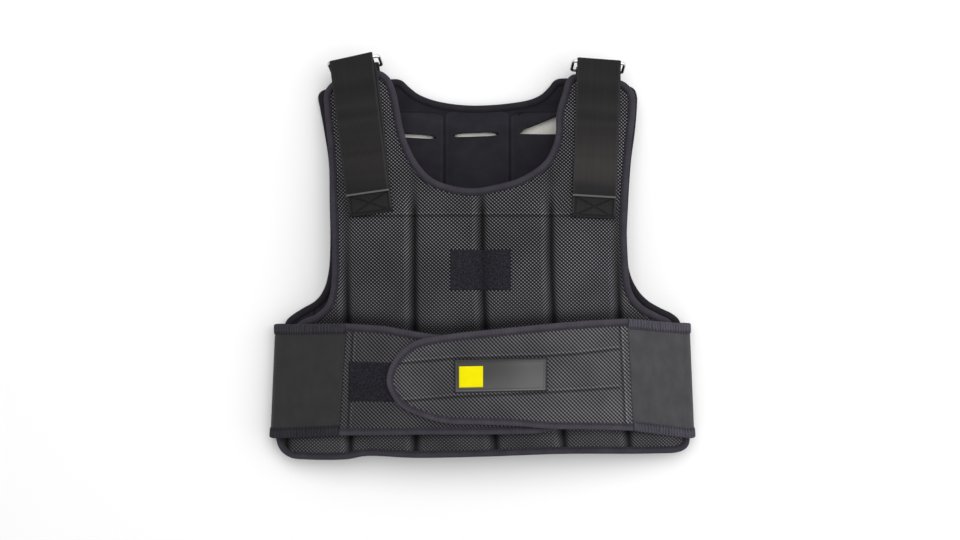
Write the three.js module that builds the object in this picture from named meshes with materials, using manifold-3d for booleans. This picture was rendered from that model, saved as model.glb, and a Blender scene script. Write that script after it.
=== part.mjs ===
import * as THREE from 'three';
import Module from 'manifold-3d';

const wasm = await Module();
wasm.setup();

// Main sizes of the vest as it lies on its back, in millimetres
const HALF_WIDTH = 244;
const HALF_LENGTH = 236;
const CHANNEL_PITCH = 76.5;
const CHEST_HEIGHT = 88;

// Front panel
const FRONT_THICKNESS = 20;
const WING_THICKNESS = 14;
const FRONT_GROOVE_DEPTH = 5;
const GROOVE_REACH = 7;
const SEAM_UP = 0.194;
const SIDE_REACH = 180;
const FALL_POWER = 2.2;

// Back panel
const BACK_TOP = 21;
const BACK_WING_TOP = 14;
const BACK_SHOULDER_TOP = 12;
const BACK_EDGE_HEIGHT = 8.2;
const BACK_GROOVE_DEPTH = 3;
const BELT_BAND_LIFT = 4.8;

// Panel edges and the folded tape round them
const EDGE_THICKNESS = 4.4;
const EDGE_FLAT = 4;
const EDGE_TAPER = 26;
const TAPE_DEPTH = 8.5;
const TAPE_WALL = 1;
const SEWN_GAP = 0.35;
const RIM_OVERLAP = 1.5;

// Pockets and weights
const POCKET = { width: 60, length: 122, height: 12, floor: 6, top: 145.2 };
const SLIT_WIDTH = 54;
const SLIT_HEIGHT = 5;
const WEIGHT_SIDE_GAP = 2;
const WEIGHT_HEIGHT = 10;
const SEAT_GAP = 0.3;
const GAPING_RISE = 22;

// Shoulder straps, rings and tabs
const STRAP_WIDTH = 50;
const STRAP_THICKNESS = 1.6;
const STRAP_LIFT = 0.8;
const LAYER_GAP = 0.6;
const STRAP_LENGTH = 181;
const FLAP_LENGTH = 157;
const BAR_SETTLE = 45;
const WIRE_RADIUS = 2;
const WIRE_GAP = 0.4;
const RING_LENGTH = 60;
const RING_HEIGHT = 20;
const RING_CORNER = 3;
const RING_LEAN = 65;
const BAR_HEIGHT = 42;
const TAB_WIDTH = 50;
const TAB_SEWN_LEVEL = 14.8;
const TAB_SEWN_LENGTH = 22;
const TAB_REACH = 14;
const TAB_BEND = 2;

// Belt: elastic sides, flaps, tapes and patches
const CLOTH = 2;
const BELT_LIFT = 1.6;
const OVER_LIFT = 6.35;
const OVERLAP_END = 116;
const OVERLAP_EASE = 44;
const BELT_TAPE_WALL = 0.7;
const BELT_TAPE_GAP = 0.35;
const ELASTIC_TAPE_DEPTH = 12;
const FLAP_TAPE_DEPTH = 8.6;
const FOLD_OUT = 249;
const FOLD_IN = 243.5;
const FOLD_DEPTH = 8;
const UNDER_REACH = 150;
const BELT_BACK_THICKNESS = 3;
const JOIN_GAP = 0.4;
const PATCH_THICKNESS = 1;
const PATCH_GAP = 0.3;
const BADGE_THICKNESS = 1.8;
const SQUARE_THICKNESS = 0.6;

// Materials, one per kind of stuff
const SLOT_COLOURS = {
  mesh: 0x1b1b1e,
  lining: 0x211f26,
  tape: 0x3e3a44,
  webbing: 0x2a2829,
  steel: 0xc4c4c4,
  elastic: 0x3a3a3d,
  loop: 0x232228,
  rubber: 0x555553,
  accent: 0xd8c800,
  weight: 0xc8c8c3,
};

// Small helpers
function smooth(share) {
  const held = Math.min(1, Math.max(0, share));
  return held * held * (3 - 2 * held);
}

function mix(from, to, share) {
  return from + (to - from) * share;
}

function bump(distance, reach) {
  return Math.exp(-((distance / reach) ** 2));
}

// Value of one column of a table at a place given in its first column, on a smooth curve
function along(table, column, place) {
  let low = 0;
  while (low < table.length - 2 && place > table[low + 1][0]) low += 1;
  const row = (index) => table[Math.min(table.length - 1, Math.max(0, index))];
  const span = row(low + 1)[0] - row(low)[0];
  const slope = (index) => {
    const rise = row(index + 1)[column] - row(index - 1)[column];
    const run = row(index + 1)[0] - row(index - 1)[0];
    return (rise / run) * span;
  };
  const t = Math.min(1, Math.max(0, (place - row(low)[0]) / span));
  const square = t * t;
  const cube = square * t;
  return (2 * cube - 3 * square + 1) * row(low)[column]
    + (cube - 2 * square + t) * slope(low)
    + (3 * square - 2 * cube) * row(low + 1)[column]
    + (cube - square) * slope(low + 1);
}

// Heights of the front panel's outer hull: up, centre height, height at the side reach
const FRONT_CROWN = [
  [-1.02, 0.68, 0.49],
  [-0.593, 0.91, 0.584],
  [-0.318, 0.977, 0.59],
  [0, 1, 0.6],
  [0.254, 0.955, 0.58],
  [0.508, 0.818, 0.523],
  [0.7, 0.693, 0.477],
  [1.02, 0.455, 0.375],
];

function crownHeight(x, y) {
  const up = y / HALF_LENGTH;
  const centre = along(FRONT_CROWN, 1, up) * CHEST_HEIGHT;
  const side = along(FRONT_CROWN, 2, up) * CHEST_HEIGHT;
  return centre - (centre - side) * (Math.abs(x) / SIDE_REACH) ** FALL_POWER;
}

// Panel outlines: sides by up, left, right
const FRONT_SIDES = [
  [-0.898, -0.99, 0.995],
  [-0.636, -0.972, 0.975],
  [-0.4, -0.935, 0.94],
  [-0.318, -0.865, 0.9],
  [-0.284, -0.79, 0.835],
  [-0.237, -0.741, 0.756],
  [-0.169, -0.719, 0.706],
  [0, -0.711, 0.686],
  [0.254, -0.72, 0.684],
  [0.542, -0.734, 0.707],
  [0.712, -0.752, 0.727],
  [0.805, -0.754, 0.722],
];

const BACK_SIDES = [
  [-0.87, -0.968, 0.968],
  [-0.636, -0.963, 0.965],
  [-0.39, -0.957, 0.96],
  [-0.322, -0.945, 0.95],
  [-0.288, -0.91, 0.918],
  [-0.254, -0.858, 0.852],
  [-0.22, -0.803, 0.797],
  [-0.169, -0.766, 0.75],
  [-0.085, -0.742, 0.711],
  [0.042, -0.733, 0.696],
  [0.28, -0.736, 0.703],
  [0.466, -0.74, 0.715],
  [0.636, -0.764, 0.736],
  [0.742, -0.783, 0.744],
  [0.797, -0.791, 0.744],
];

// Tops of the shoulders, outer end first: left across, left up, right across, right up
const FRONT_SHOULDERS = [
  [-0.72, 0.856, 0.687, 0.851],
  [-0.652, 0.881, 0.645, 0.871],
  [-0.557, 0.905, 0.537, 0.881],
  [-0.49, 0.912, 0.43, 0.893],
  [-0.444, 0.88, 0.398, 0.862],
];

const BACK_SHOULDERS = [
  [-0.775, 0.823, 0.729, 0.835],
  [-0.68, 0.847, 0.656, 0.86],
  [-0.57, 0.866, 0.54, 0.877],
  [-0.45, 0.882, 0.41, 0.887],
  [-0.393, 0.878, 0.352, 0.879],
];

// Neckline: up, left, right, and its lowest point
const FRONT_NECK = [
  [0.8, -0.409, 0.379],
  [0.7, -0.389, 0.35],
  [0.606, -0.37, 0.346],
  [0.542, -0.349, 0.332],
  [0.457, -0.306, 0.287],
  [0.381, -0.24, 0.18],
  [0.343, -0.156, 0.057],
];
const FRONT_NECK_LOW = [-0.045, 0.327];

const BACK_NECK = [
  [0.84, -0.35, 0.318],
  [0.808, -0.309, 0.286],
  [0.781, -0.247, 0.231],
  [0.761, -0.16, 0.121],
];
const BACK_NECK_LOW = [-0.041, 0.751];

// Hems from left to right: across, up
const FRONT_HEM = [
  [-0.965, -0.963],
  [-0.915, -0.996],
  [-0.85, -1.002],
  [-0.646, -0.997],
  [-0.55, -0.979],
  [-0.32, -0.985],
  [0, -0.978],
  [0.38, -0.966],
  [0.82, -0.972],
  [0.94, -0.968],
  [0.982, -0.945],
];

const BACK_HEM = [
  [-0.94, -0.935],
  [-0.88, -0.965],
  [-0.5, -0.96],
  [0, -0.955],
  [0.5, -0.95],
  [0.88, -0.95],
  [0.945, -0.925],
];

// Drops the points of a line that lie closer than the tolerance to the line without them
function thinned(points, tolerance) {
  if (points.length < 3) return points;
  const first = points[0];
  const last = points[points.length - 1];
  const chord = last.clone().sub(first);
  let far = 0;
  let split = 0;
  for (let index = 1; index < points.length - 1; index += 1) {
    const offset = points[index].clone().sub(first);
    const distance = Math.abs(chord.x * offset.y - chord.y * offset.x) / Math.max(chord.length(), 1e-6);
    if (distance > far) {
      far = distance;
      split = index;
    }
  }
  if (far < tolerance) return [first, last];
  const before = thinned(points.slice(0, split + 1), tolerance);
  const after = thinned(points.slice(split), tolerance);
  return before.slice(0, -1).concat(after);
}

// Closed outline of a panel, clockwise from the left end of the hem
const CURVE_STEPS = 6;
const OUTLINE_TOLERANCE = 1.1;
const LONGEST_STEP = 45;

function panelOutline(sides, shoulders, neck, neckLow, hem) {
  const knots = [];
  for (const [up, left] of sides) knots.push([left, up]);
  for (const [across, up] of shoulders) knots.push([across, up]);
  for (const [up, left] of neck) knots.push([left, up]);
  knots.push(neckLow);
  for (const [up, , right] of [...neck].reverse()) knots.push([right, up]);
  for (const [, , across, up] of [...shoulders].reverse()) knots.push([across, up]);
  for (const [up, , right] of [...sides].reverse()) knots.push([right, up]);
  for (const [across, up] of [...hem].reverse()) knots.push([across, up]);
  const points = knots.map(([across, up]) => new THREE.Vector3(across * HALF_WIDTH, up * HALF_LENGTH, 0));
  const curve = new THREE.CatmullRomCurve3(points, true, 'centripetal');
  const fine = curve.getPoints(points.length * CURVE_STEPS).map((point) => new THREE.Vector2(point.x, point.y));
  const half = Math.round(fine.length / 2);
  const kept = thinned(fine.slice(0, half + 1), OUTLINE_TOLERANCE).slice(0, -1)
    .concat(thinned(fine.slice(half), OUTLINE_TOLERANCE)).slice(0, -1);
  return shortSteps(kept, LONGEST_STEP);
}

// Splits the steps of a closed line that are longer than a given length
function shortSteps(points, longest) {
  const result = [];
  for (let index = 0; index < points.length; index += 1) {
    const here = points[index];
    const next = points[(index + 1) % points.length];
    const parts = Math.ceil(here.distanceTo(next) / longest);
    for (let part = 0; part < parts; part += 1) result.push(here.clone().lerp(next, part / parts));
  }
  return result;
}

// Inward unit normals of a line of points, closed or open, with its inside on the right
function inwardNormals(points, closed) {
  const count = points.length;
  return points.map((point, index) => {
    const before = closed ? points[(index + count - 1) % count] : points[Math.max(0, index - 1)];
    const after = closed ? points[(index + 1) % count] : points[Math.min(count - 1, index + 1)];
    const into = point.clone().sub(before).normalize();
    const out = after.clone().sub(point).normalize();
    if (point.distanceTo(before) === 0) into.copy(out);
    if (point.distanceTo(after) === 0) out.copy(into);
    const heading = into.clone().add(out).normalize();
    const widen = 1 / Math.max(0.6, heading.dot(into));
    return new THREE.Vector2(heading.y, -heading.x).multiplyScalar(widen);
  });
}

function insetPoints(points, normals, depth) {
  return points.map((point, index) => point.clone().addScaledVector(normals[index], depth));
}

// Distance of a place to the outline, positive on the inside
function insideDepth(outline, x, y) {
  let nearest = Infinity;
  let inside = false;
  for (let index = 0; index < outline.length; index += 1) {
    const a = outline[index];
    const b = outline[(index + 1) % outline.length];
    const dx = b.x - a.x;
    const dy = b.y - a.y;
    const share = Math.min(1, Math.max(0, ((x - a.x) * dx + (y - a.y) * dy) / (dx * dx + dy * dy)));
    nearest = Math.min(nearest, Math.hypot(x - a.x - dx * share, y - a.y - dy * share));
    if (a.y > y !== b.y > y && x < a.x + ((y - a.y) / dy) * dx) inside = !inside;
  }
  return inside ? nearest : -nearest;
}

// Mesh of a closed solid, turned so that its volume is positive
function closedGeometry(points, faces) {
  let volume = 0;
  for (const [a, b, c] of faces) {
    volume += points[a].dot(new THREE.Vector3().crossVectors(points[b], points[c]));
  }
  const turned = volume < 0 ? faces.map(([a, b, c]) => [a, c, b]) : faces;
  const geometry = new THREE.BufferGeometry();
  const places = new Float32Array(points.length * 3);
  points.forEach((point, index) => point.toArray(places, index * 3));
  geometry.setAttribute('position', new THREE.BufferAttribute(places, 3));
  geometry.setIndex(turned.flat());
  return geometry;
}

// Solid between two grids of the same shape, closed at the four sides
function betweenGrids(upper, lower) {
  const rows = upper.length;
  const columns = upper[0].length;
  const points = upper.flat().concat(lower.flat());
  const low = rows * columns;
  const faces = [];
  const quad = (a, b, c, d) => faces.push([a, b, c], [a, c, d]);
  const at = (row, column) => row * columns + column;
  for (let row = 0; row < rows - 1; row += 1) {
    for (let column = 0; column < columns - 1; column += 1) {
      const a = at(row, column);
      const b = at(row, column + 1);
      const c = at(row + 1, column + 1);
      const d = at(row + 1, column);
      quad(a, b, c, d);
      quad(low + d, low + c, low + b, low + a);
    }
  }
  for (let column = 0; column < columns - 1; column += 1) {
    quad(at(0, column + 1), at(0, column), low + at(0, column), low + at(0, column + 1));
    const last = rows - 1;
    quad(at(last, column), at(last, column + 1), low + at(last, column + 1), low + at(last, column));
  }
  for (let row = 0; row < rows - 1; row += 1) {
    quad(at(row, 0), at(row + 1, 0), low + at(row + 1, 0), low + at(row, 0));
    const last = columns - 1;
    quad(at(row + 1, last), at(row, last), low + at(row, last), low + at(row + 1, last));
  }
  return closedGeometry(points, faces);
}

// Sheet of even thickness about a grid of points
function sheetGeometry(grid, thickness) {
  const rows = grid.length;
  const columns = grid[0].length;
  const upper = [];
  const lower = [];
  for (let row = 0; row < rows; row += 1) {
    const above = [];
    const below = [];
    for (let column = 0; column < columns; column += 1) {
      const alongRow = grid[row][Math.min(columns - 1, column + 1)].clone()
        .sub(grid[row][Math.max(0, column - 1)]);
      const alongColumn = grid[Math.min(rows - 1, row + 1)][column].clone()
        .sub(grid[Math.max(0, row - 1)][column]);
      const normal = alongRow.cross(alongColumn).normalize();
      above.push(grid[row][column].clone().addScaledVector(normal, thickness / 2));
      below.push(grid[row][column].clone().addScaledVector(normal, -thickness / 2));
    }
    upper.push(above);
    lower.push(below);
  }
  return betweenGrids(upper, lower);
}

// Solid through a row of sections, a closed loop or capped with the given faces
function loftGeometry(sections, closed, caps) {
  const size = sections[0].length;
  const points = sections.flat();
  const faces = [];
  const quad = (a, b, c, d) => faces.push([a, b, c], [a, c, d]);
  const spans = closed ? sections.length : sections.length - 1;
  for (let index = 0; index < spans; index += 1) {
    const here = index * size;
    const next = ((index + 1) % sections.length) * size;
    for (let corner = 0; corner < size; corner += 1) {
      const turn = (corner + 1) % size;
      quad(here + corner, here + turn, next + turn, next + corner);
    }
  }
  if (!closed) {
    const last = (sections.length - 1) * size;
    for (const [a, b, c, d] of caps) {
      quad(d, c, b, a);
      quad(last + a, last + b, last + c, last + d);
    }
  }
  return closedGeometry(points, faces);
}

// Folded tape over an edge: at each station a point, an inward and an outward-facing direction
const TAPE_CAPS = [[0, 1, 6, 7], [1, 2, 5, 6], [2, 3, 4, 5]];

function tapeGeometry(stations, depth, halfGap, wall, closed) {
  const outer = halfGap + wall;
  const corners = [
    [depth, outer], [0, outer], [0, -outer], [depth, -outer],
    [depth, -halfGap], [wall, -halfGap], [wall, halfGap], [depth, halfGap],
  ];
  const sections = stations.map(({ point, inward, facing }) => corners.map(([into, above]) => (
    point.clone().addScaledVector(inward, into).addScaledVector(facing, above)
  )));
  return loftGeometry(sections, closed, TAPE_CAPS);
}

// Boolean solids
function toManifold(geometry) {
  return new wasm.Manifold(new wasm.Mesh({
    numProp: 3,
    vertProperties: geometry.attributes.position.array,
    triVerts: Uint32Array.from(geometry.index.array),
  }));
}

function fromManifold(solid) {
  const mesh = solid.getMesh();
  const geometry = new THREE.BufferGeometry();
  geometry.setAttribute('position', new THREE.BufferAttribute(Float32Array.from(mesh.vertProperties), 3));
  geometry.setIndex(Array.from(mesh.triVerts));
  return geometry;
}

function prism(points, bottom, top) {
  const section = new wasm.CrossSection([points.map((point) => [point.x, point.y])], 'NonZero');
  return section.extrude(top - bottom).translate([0, 0, bottom]);
}

function named(name, geometry, slot) {
  const material = new THREE.MeshStandardMaterial({ color: SLOT_COLOURS[slot], name: slot });
  const mesh = new THREE.Mesh(geometry, material);
  mesh.name = name;
  return mesh;
}

// A padded panel: a puffed middle joined to a thin rim that the tape is folded over
const RIM_INSET = TAPE_WALL + SEWN_GAP;
const MIDDLE_INSET = TAPE_DEPTH + SEWN_GAP;

function panelBody(outline, normals, grid, heights) {
  const upper = [];
  const lower = [];
  for (const row of grid) {
    const above = [];
    const below = [];
    for (const [x, y] of row) {
      const share = smooth((insideDepth(outline, x, y) - EDGE_FLAT) / EDGE_TAPER);
      const edge = heights.edge(x, y);
      const top = mix(edge + EDGE_THICKNESS / 2, heights.top(x, y), share);
      const bottom = mix(edge - EDGE_THICKNESS / 2, heights.bottom(x, y), share);
      above.push(new THREE.Vector3(x, y, top - heights.topGroove(x, y) * share));
      below.push(new THREE.Vector3(x, y, bottom + heights.bottomGroove(x, y) * share));
    }
    upper.push(above);
    lower.push(below);
  }
  const middle = toManifold(betweenGrids(upper, lower))
    .intersect(prism(insetPoints(outline, normals, MIDDLE_INSET), -HALF_WIDTH, HALF_WIDTH));
  const outerLine = insetPoints(outline, normals, RIM_INSET);
  const innerLine = insetPoints(outline, normals, MIDDLE_INSET + RIM_OVERLAP);
  const half = EDGE_THICKNESS / 2;
  const sections = outerLine.map((outer, index) => {
    const inner = innerLine[index];
    const outerHeight = heights.edge(outer.x, outer.y);
    const innerHeight = heights.edge(inner.x, inner.y);
    return [
      new THREE.Vector3(outer.x, outer.y, outerHeight + half),
      new THREE.Vector3(inner.x, inner.y, innerHeight + half),
      new THREE.Vector3(inner.x, inner.y, innerHeight - half),
      new THREE.Vector3(outer.x, outer.y, outerHeight - half),
    ];
  });
  const rim = toManifold(loftGeometry(sections, true, []));
  return middle.add(rim);
}

function panelTape(outline, normals, heights) {
  const up = new THREE.Vector3(0, 0, 1);
  const stations = outline.map((place, index) => {
    const inner = place.clone().addScaledVector(normals[index], TAPE_DEPTH);
    const point = new THREE.Vector3(place.x, place.y, heights.edge(place.x, place.y));
    const end = new THREE.Vector3(inner.x, inner.y, heights.edge(inner.x, inner.y));
    return { point, inward: end.sub(point).divideScalar(TAPE_DEPTH), facing: up };
  });
  return tapeGeometry(stations, TAPE_DEPTH, EDGE_THICKNESS / 2 + SEWN_GAP, TAPE_WALL, true);
}

// Front panel: grooves between the ribs, given on the chest and at the hem
const FRONT_GROOVES = [
  [-0.642, -0.63],
  [-0.323, -0.321],
  [-0.007, 0.059],
  [0.314, 0.382],
  [0.631, 0.691],
];
const CHEST_UP = 0.04;
const HEM_UP = -0.92;
const GROOVE_FADE = [0.05, 0.33, 0.6, 0.33, 0.05];
const FADE_LENGTH = 0.14;
const SEAM_REACH = 150;
const SEAM_SOFT_END = 12;
const SEAM_STRENGTH = 0.6;
const UNDERSIDE_STRENGTH = 0.7;
const WING_START = 150;
const WING_TAPER = 60;

function frontGrooveX(index, y) {
  const share = (CHEST_UP - y / HALF_LENGTH) / (CHEST_UP - HEM_UP);
  const held = Math.min(1, Math.max(0, share));
  return mix(FRONT_GROOVES[index][0], FRONT_GROOVES[index][1], held) * HALF_WIDTH;
}

function frontGroove(x, y) {
  const up = y / HALF_LENGTH;
  let deepest = 0;
  FRONT_GROOVES.forEach((groove, index) => {
    const above = smooth((up - SEAM_UP) / FADE_LENGTH);
    const strength = mix(1, GROOVE_FADE[index], above);
    deepest = Math.max(deepest, strength * bump(x - frontGrooveX(index, y), GROOVE_REACH));
  });
  const held = SEAM_STRENGTH * smooth((SEAM_REACH - Math.abs(x)) / SEAM_SOFT_END);
  return Math.max(deepest, held * bump(y - SEAM_UP * HALF_LENGTH, GROOVE_REACH));
}

function wingShare(x) {
  return smooth((Math.abs(x) - WING_START) / WING_TAPER);
}

const frontHeights = {
  top: (x, y) => crownHeight(x, y),
  bottom: (x, y) => crownHeight(x, y) - mix(FRONT_THICKNESS, WING_THICKNESS, wingShare(x)),
  edge: (x, y) => crownHeight(x, y) - FRONT_THICKNESS / 2,
  topGroove: (x, y) => FRONT_GROOVE_DEPTH * frontGroove(x, y),
  bottomGroove: (x, y) => FRONT_GROOVE_DEPTH * UNDERSIDE_STRENGTH * frontGroove(x, y),
};

const RIB_SHARES = [0, 0.1, 0.5, 0.9];
const OUTER_SHARES = [0.12, 0.5, 1.3];
const FRONT_ROWS = [-1.05, -0.93, -0.75, -0.5, -0.3, -0.1, 0.04, 0.15, 0.194, 0.24, 0.36, 0.52, 0.72, 0.95];

function frontGrid() {
  return FRONT_ROWS.map((up) => {
    const y = up * HALF_LENGTH;
    const lines = FRONT_GROOVES.map((groove, index) => frontGrooveX(index, y));
    const row = OUTER_SHARES.map((share) => lines[0] - share * CHANNEL_PITCH).reverse();
    for (let rib = 0; rib < lines.length - 1; rib += 1) {
      for (const share of RIB_SHARES) row.push(mix(lines[rib], lines[rib + 1], share));
    }
    const last = lines[lines.length - 1];
    row.push(last);
    for (const share of OUTER_SHARES) row.push(last + share * CHANNEL_PITCH);
    return row.map((x) => [x, y]);
  });
}

const frontOutline = panelOutline(FRONT_SIDES, FRONT_SHOULDERS, FRONT_NECK, FRONT_NECK_LOW, FRONT_HEM);
const frontNormals = inwardNormals(frontOutline, true);

// Back panel: straight grooves, a flat bottom that rests on the floor and lifts over the belt
const BACK_GROOVE_FIRST = -0.809;
const BACK_GROOVE_COUNT = 6;
const BELT_BAND_TOP = -0.26;
const BELT_BAND_EASE = 0.05;
const SHOULDER_UP = 0.7;
const SHOULDER_EASE = 0.05;
const BACK_OUTER_SHARES = [0.8, 0.9];

function backGrooveX(index) {
  return BACK_GROOVE_FIRST * HALF_WIDTH + index * CHANNEL_PITCH;
}

function backGroove(x) {
  let deepest = 0;
  for (let index = 0; index < BACK_GROOVE_COUNT; index += 1) {
    deepest = Math.max(deepest, bump(x - backGrooveX(index), GROOVE_REACH));
  }
  return deepest;
}

function backTop(x, y) {
  const torso = mix(BACK_TOP, BACK_WING_TOP, wingShare(x));
  return mix(torso, BACK_SHOULDER_TOP, smooth((y / HALF_LENGTH - SHOULDER_UP) / SHOULDER_EASE));
}

function backBottom(y) {
  return BELT_BAND_LIFT * smooth((BELT_BAND_TOP - y / HALF_LENGTH) / BELT_BAND_EASE);
}

const backHeights = {
  top: (x, y) => backTop(x, y),
  bottom: (x, y) => backBottom(y),
  edge: () => BACK_EDGE_HEIGHT,
  topGroove: (x) => BACK_GROOVE_DEPTH * backGroove(x),
  bottomGroove: (x) => BACK_GROOVE_DEPTH * backGroove(x),
};

const BACK_RIB_SHARES = [0, 0.18, 0.82];
const BACK_ROWS = [-1.05, -0.9, -0.7, -0.45, -0.31, -0.26, -0.1, 0.15, 0.4, 0.6, 0.7, 0.75, 0.93];

function backGrid() {
  return BACK_ROWS.map((up) => {
    const row = [backGrooveX(0) - BACK_OUTER_SHARES[0] * CHANNEL_PITCH];
    for (let rib = 0; rib < BACK_GROOVE_COUNT - 1; rib += 1) {
      for (const share of BACK_RIB_SHARES) row.push(backGrooveX(rib) + share * CHANNEL_PITCH);
    }
    row.push(backGrooveX(BACK_GROOVE_COUNT - 1));
    row.push(backGrooveX(BACK_GROOVE_COUNT - 1) + BACK_OUTER_SHARES[1] * CHANNEL_PITCH);
    return row.map((x) => [x, up * HALF_LENGTH]);
  });
}

const backOutline = panelOutline(BACK_SIDES, BACK_SHOULDERS, BACK_NECK, BACK_NECK_LOW, BACK_HEM);
const backNormals = inwardNormals(backOutline, true);

// Pockets in the back panel, each with a slit at its upper end and a weight bar in it
const POCKETS = [
  { name: 'weight_left', channel: 1.5, rise: 0 },
  { name: 'weight_centre', channel: 2.5, rise: 0 },
  { name: 'weight_right', channel: 3.5, rise: GAPING_RISE },
];

function pocketCentre(pocket) {
  return backGrooveX(pocket.channel);
}

function pocketCut(pocket) {
  const x = pocketCentre(pocket);
  const top = POCKET.top + pocket.rise;
  const hollow = wasm.Manifold.cube([POCKET.width, POCKET.length, POCKET.height])
    .translate([x - POCKET.width / 2, top - POCKET.length, POCKET.floor]);
  const left = x - SLIT_WIDTH / 2;
  const right = x + SLIT_WIDTH / 2;
  const corners = pocket.rise > 0
    ? [[left, POCKET.top], [right, POCKET.top - SLIT_HEIGHT / 2], [right, top]]
    : [[left, top - SLIT_HEIGHT], [right, top - SLIT_HEIGHT], [right, top], [left, top]];
  const points = corners.map(([cornerX, cornerY]) => new THREE.Vector2(cornerX, cornerY));
  return hollow.add(prism(points, POCKET.floor + POCKET.height / 2, BACK_TOP + POCKET.height));
}

function weightBar(pocket) {
  const width = POCKET.width - 2 * WEIGHT_SIDE_GAP;
  const length = POCKET.length - 2 * WEIGHT_SIDE_GAP;
  const bar = wasm.Manifold.cube([width, length, WEIGHT_HEIGHT]).translate([
    pocketCentre(pocket) - width / 2,
    POCKET.top + pocket.rise - POCKET.length + WEIGHT_SIDE_GAP,
    POCKET.floor + SEAT_GAP,
  ]);
  return named(pocket.name, fromManifold(bar), 'weight');
}

function frontPieces() {
  const body = panelBody(frontOutline, frontNormals, frontGrid(), frontHeights);
  return [
    named('front_panel', fromManifold(body), 'mesh'),
    named('front_binding', panelTape(frontOutline, frontNormals, frontHeights), 'tape'),
  ];
}

function backPieces() {
  let body = panelBody(backOutline, backNormals, backGrid(), backHeights);
  for (const pocket of POCKETS) body = body.subtract(pocketCut(pocket));
  return [
    named('back_panel', fromManifold(body), 'lining'),
    named('back_binding', panelTape(backOutline, backNormals, backHeights), 'tape'),
    ...POCKETS.map(weightBar),
  ];
}

// Shoulder straps: where each ring bar is, how the strap leans, how the bar slopes, and how far the
// ring and the tab have slipped across
const SHOULDERS = [
  { side: 'left', across: -0.622, up: 0.962, lean: 7.5, slope: 0.09, ringSlip: 2.6, tabSlip: 5.2 },
  { side: 'right', across: 0.5525, up: 0.95, lean: -2.7, slope: -0.06, ringSlip: 0, tabSlip: 0 },
];
const ACROSS_SHARES = [-0.5, 0, 0.5];
const BEND_RADIUS = WIRE_RADIUS + WIRE_GAP + STRAP_THICKNESS / 2;
const LOWER_STEPS = [1, 0.82, 0.66, 0.5, 0.34, 0.2, 0.1, 0.04];
const UPPER_STEPS = [0.04, 0.1, 0.2, 0.34, 0.5, 0.66, 0.82, 1];
const BEND_STEPS = 6;

function shoulderFrame(shoulder) {
  const lean = THREE.MathUtils.degToRad(shoulder.lean);
  const start = new THREE.Vector3(shoulder.across * HALF_WIDTH, shoulder.up * HALF_LENGTH, BAR_HEIGHT);
  const across = new THREE.Vector3(Math.cos(lean), Math.sin(lean), shoulder.slope);
  const down = new THREE.Vector3(Math.sin(lean), -Math.cos(lean), 0);
  return { start, across, down };
}

function strapRow(frame, length, level, bend) {
  return ACROSS_SHARES.map((share) => {
    const place = frame.start.clone().addScaledVector(frame.across, share * STRAP_WIDTH);
    if (bend !== null) {
      place.addScaledVector(frame.down, -Math.cos(bend) * BEND_RADIUS);
      place.z += Math.sin(bend) * BEND_RADIUS;
      return place;
    }
    const barLevel = place.z + level * BEND_RADIUS;
    place.addScaledVector(frame.down, length);
    const lift = STRAP_LIFT + STRAP_THICKNESS / 2 + (level > 0 ? STRAP_THICKNESS + LAYER_GAP : 0);
    const lain = crownHeight(place.x, place.y) + lift;
    place.z = mix(barLevel, lain, smooth(length / BAR_SETTLE));
    return place;
  });
}

function strap(shoulder) {
  const frame = shoulderFrame(shoulder);
  const grid = LOWER_STEPS.map((share) => strapRow(frame, share * STRAP_LENGTH, -1, null));
  for (let step = 0; step <= BEND_STEPS; step += 1) {
    grid.push(strapRow(frame, 0, 0, -Math.PI / 2 + (Math.PI * step) / BEND_STEPS));
  }
  for (const share of UPPER_STEPS) grid.push(strapRow(frame, share * FLAP_LENGTH, 1, null));
  return named(`strap_${shoulder.side}`, sheetGeometry(grid, STRAP_THICKNESS), 'webbing');
}

// Rings: a rectangle of wire whose far bar lies lower and nearer the panel
const WIRE_SIDES = 8;
const CORNER_STEPS = 3;

function ringShort(frame) {
  const lean = THREE.MathUtils.degToRad(RING_LEAN);
  return frame.down.clone().multiplyScalar(Math.cos(lean)).add(new THREE.Vector3(0, 0, -Math.sin(lean)));
}

function ring(shoulder) {
  const frame = shoulderFrame(shoulder);
  const long = frame.across.clone().normalize();
  const short = ringShort(frame).addScaledVector(long, -ringShort(frame).dot(long)).normalize();
  const facing = new THREE.Vector3().crossVectors(long, short);
  const centre = frame.start.clone().addScaledVector(short, RING_HEIGHT / 2)
    .addScaledVector(long, shoulder.ringSlip);
  const halfLong = RING_LENGTH / 2 - RING_CORNER;
  const halfShort = RING_HEIGHT / 2 - RING_CORNER;
  const corners = [[1, 1], [-1, 1], [-1, -1], [1, -1]];
  const sections = [];
  corners.forEach(([right, up], corner) => {
    for (let step = 0; step <= CORNER_STEPS; step += 1) {
      const turn = (Math.PI / 2) * (corner + step / CORNER_STEPS);
      const out = long.clone().multiplyScalar(Math.cos(turn)).addScaledVector(short, Math.sin(turn));
      const middle = centre.clone()
        .addScaledVector(long, right * halfLong)
        .addScaledVector(short, up * halfShort)
        .addScaledVector(out, RING_CORNER);
      const section = [];
      for (let side = 0; side < WIRE_SIDES; side += 1) {
        const angle = (2 * Math.PI * side) / WIRE_SIDES;
        section.push(middle.clone()
          .addScaledVector(out, WIRE_RADIUS * Math.cos(angle))
          .addScaledVector(facing, WIRE_RADIUS * Math.sin(angle)));
      }
      sections.push(section);
    }
  });
  return named(`ring_${shoulder.side}`, loftGeometry(sections, true, []), 'steel');
}

// Tabs: a loop of webbing round the far bar, sewn on the inside of the back panel's shoulder
const TAB_BEND_STEPS = 6;

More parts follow.
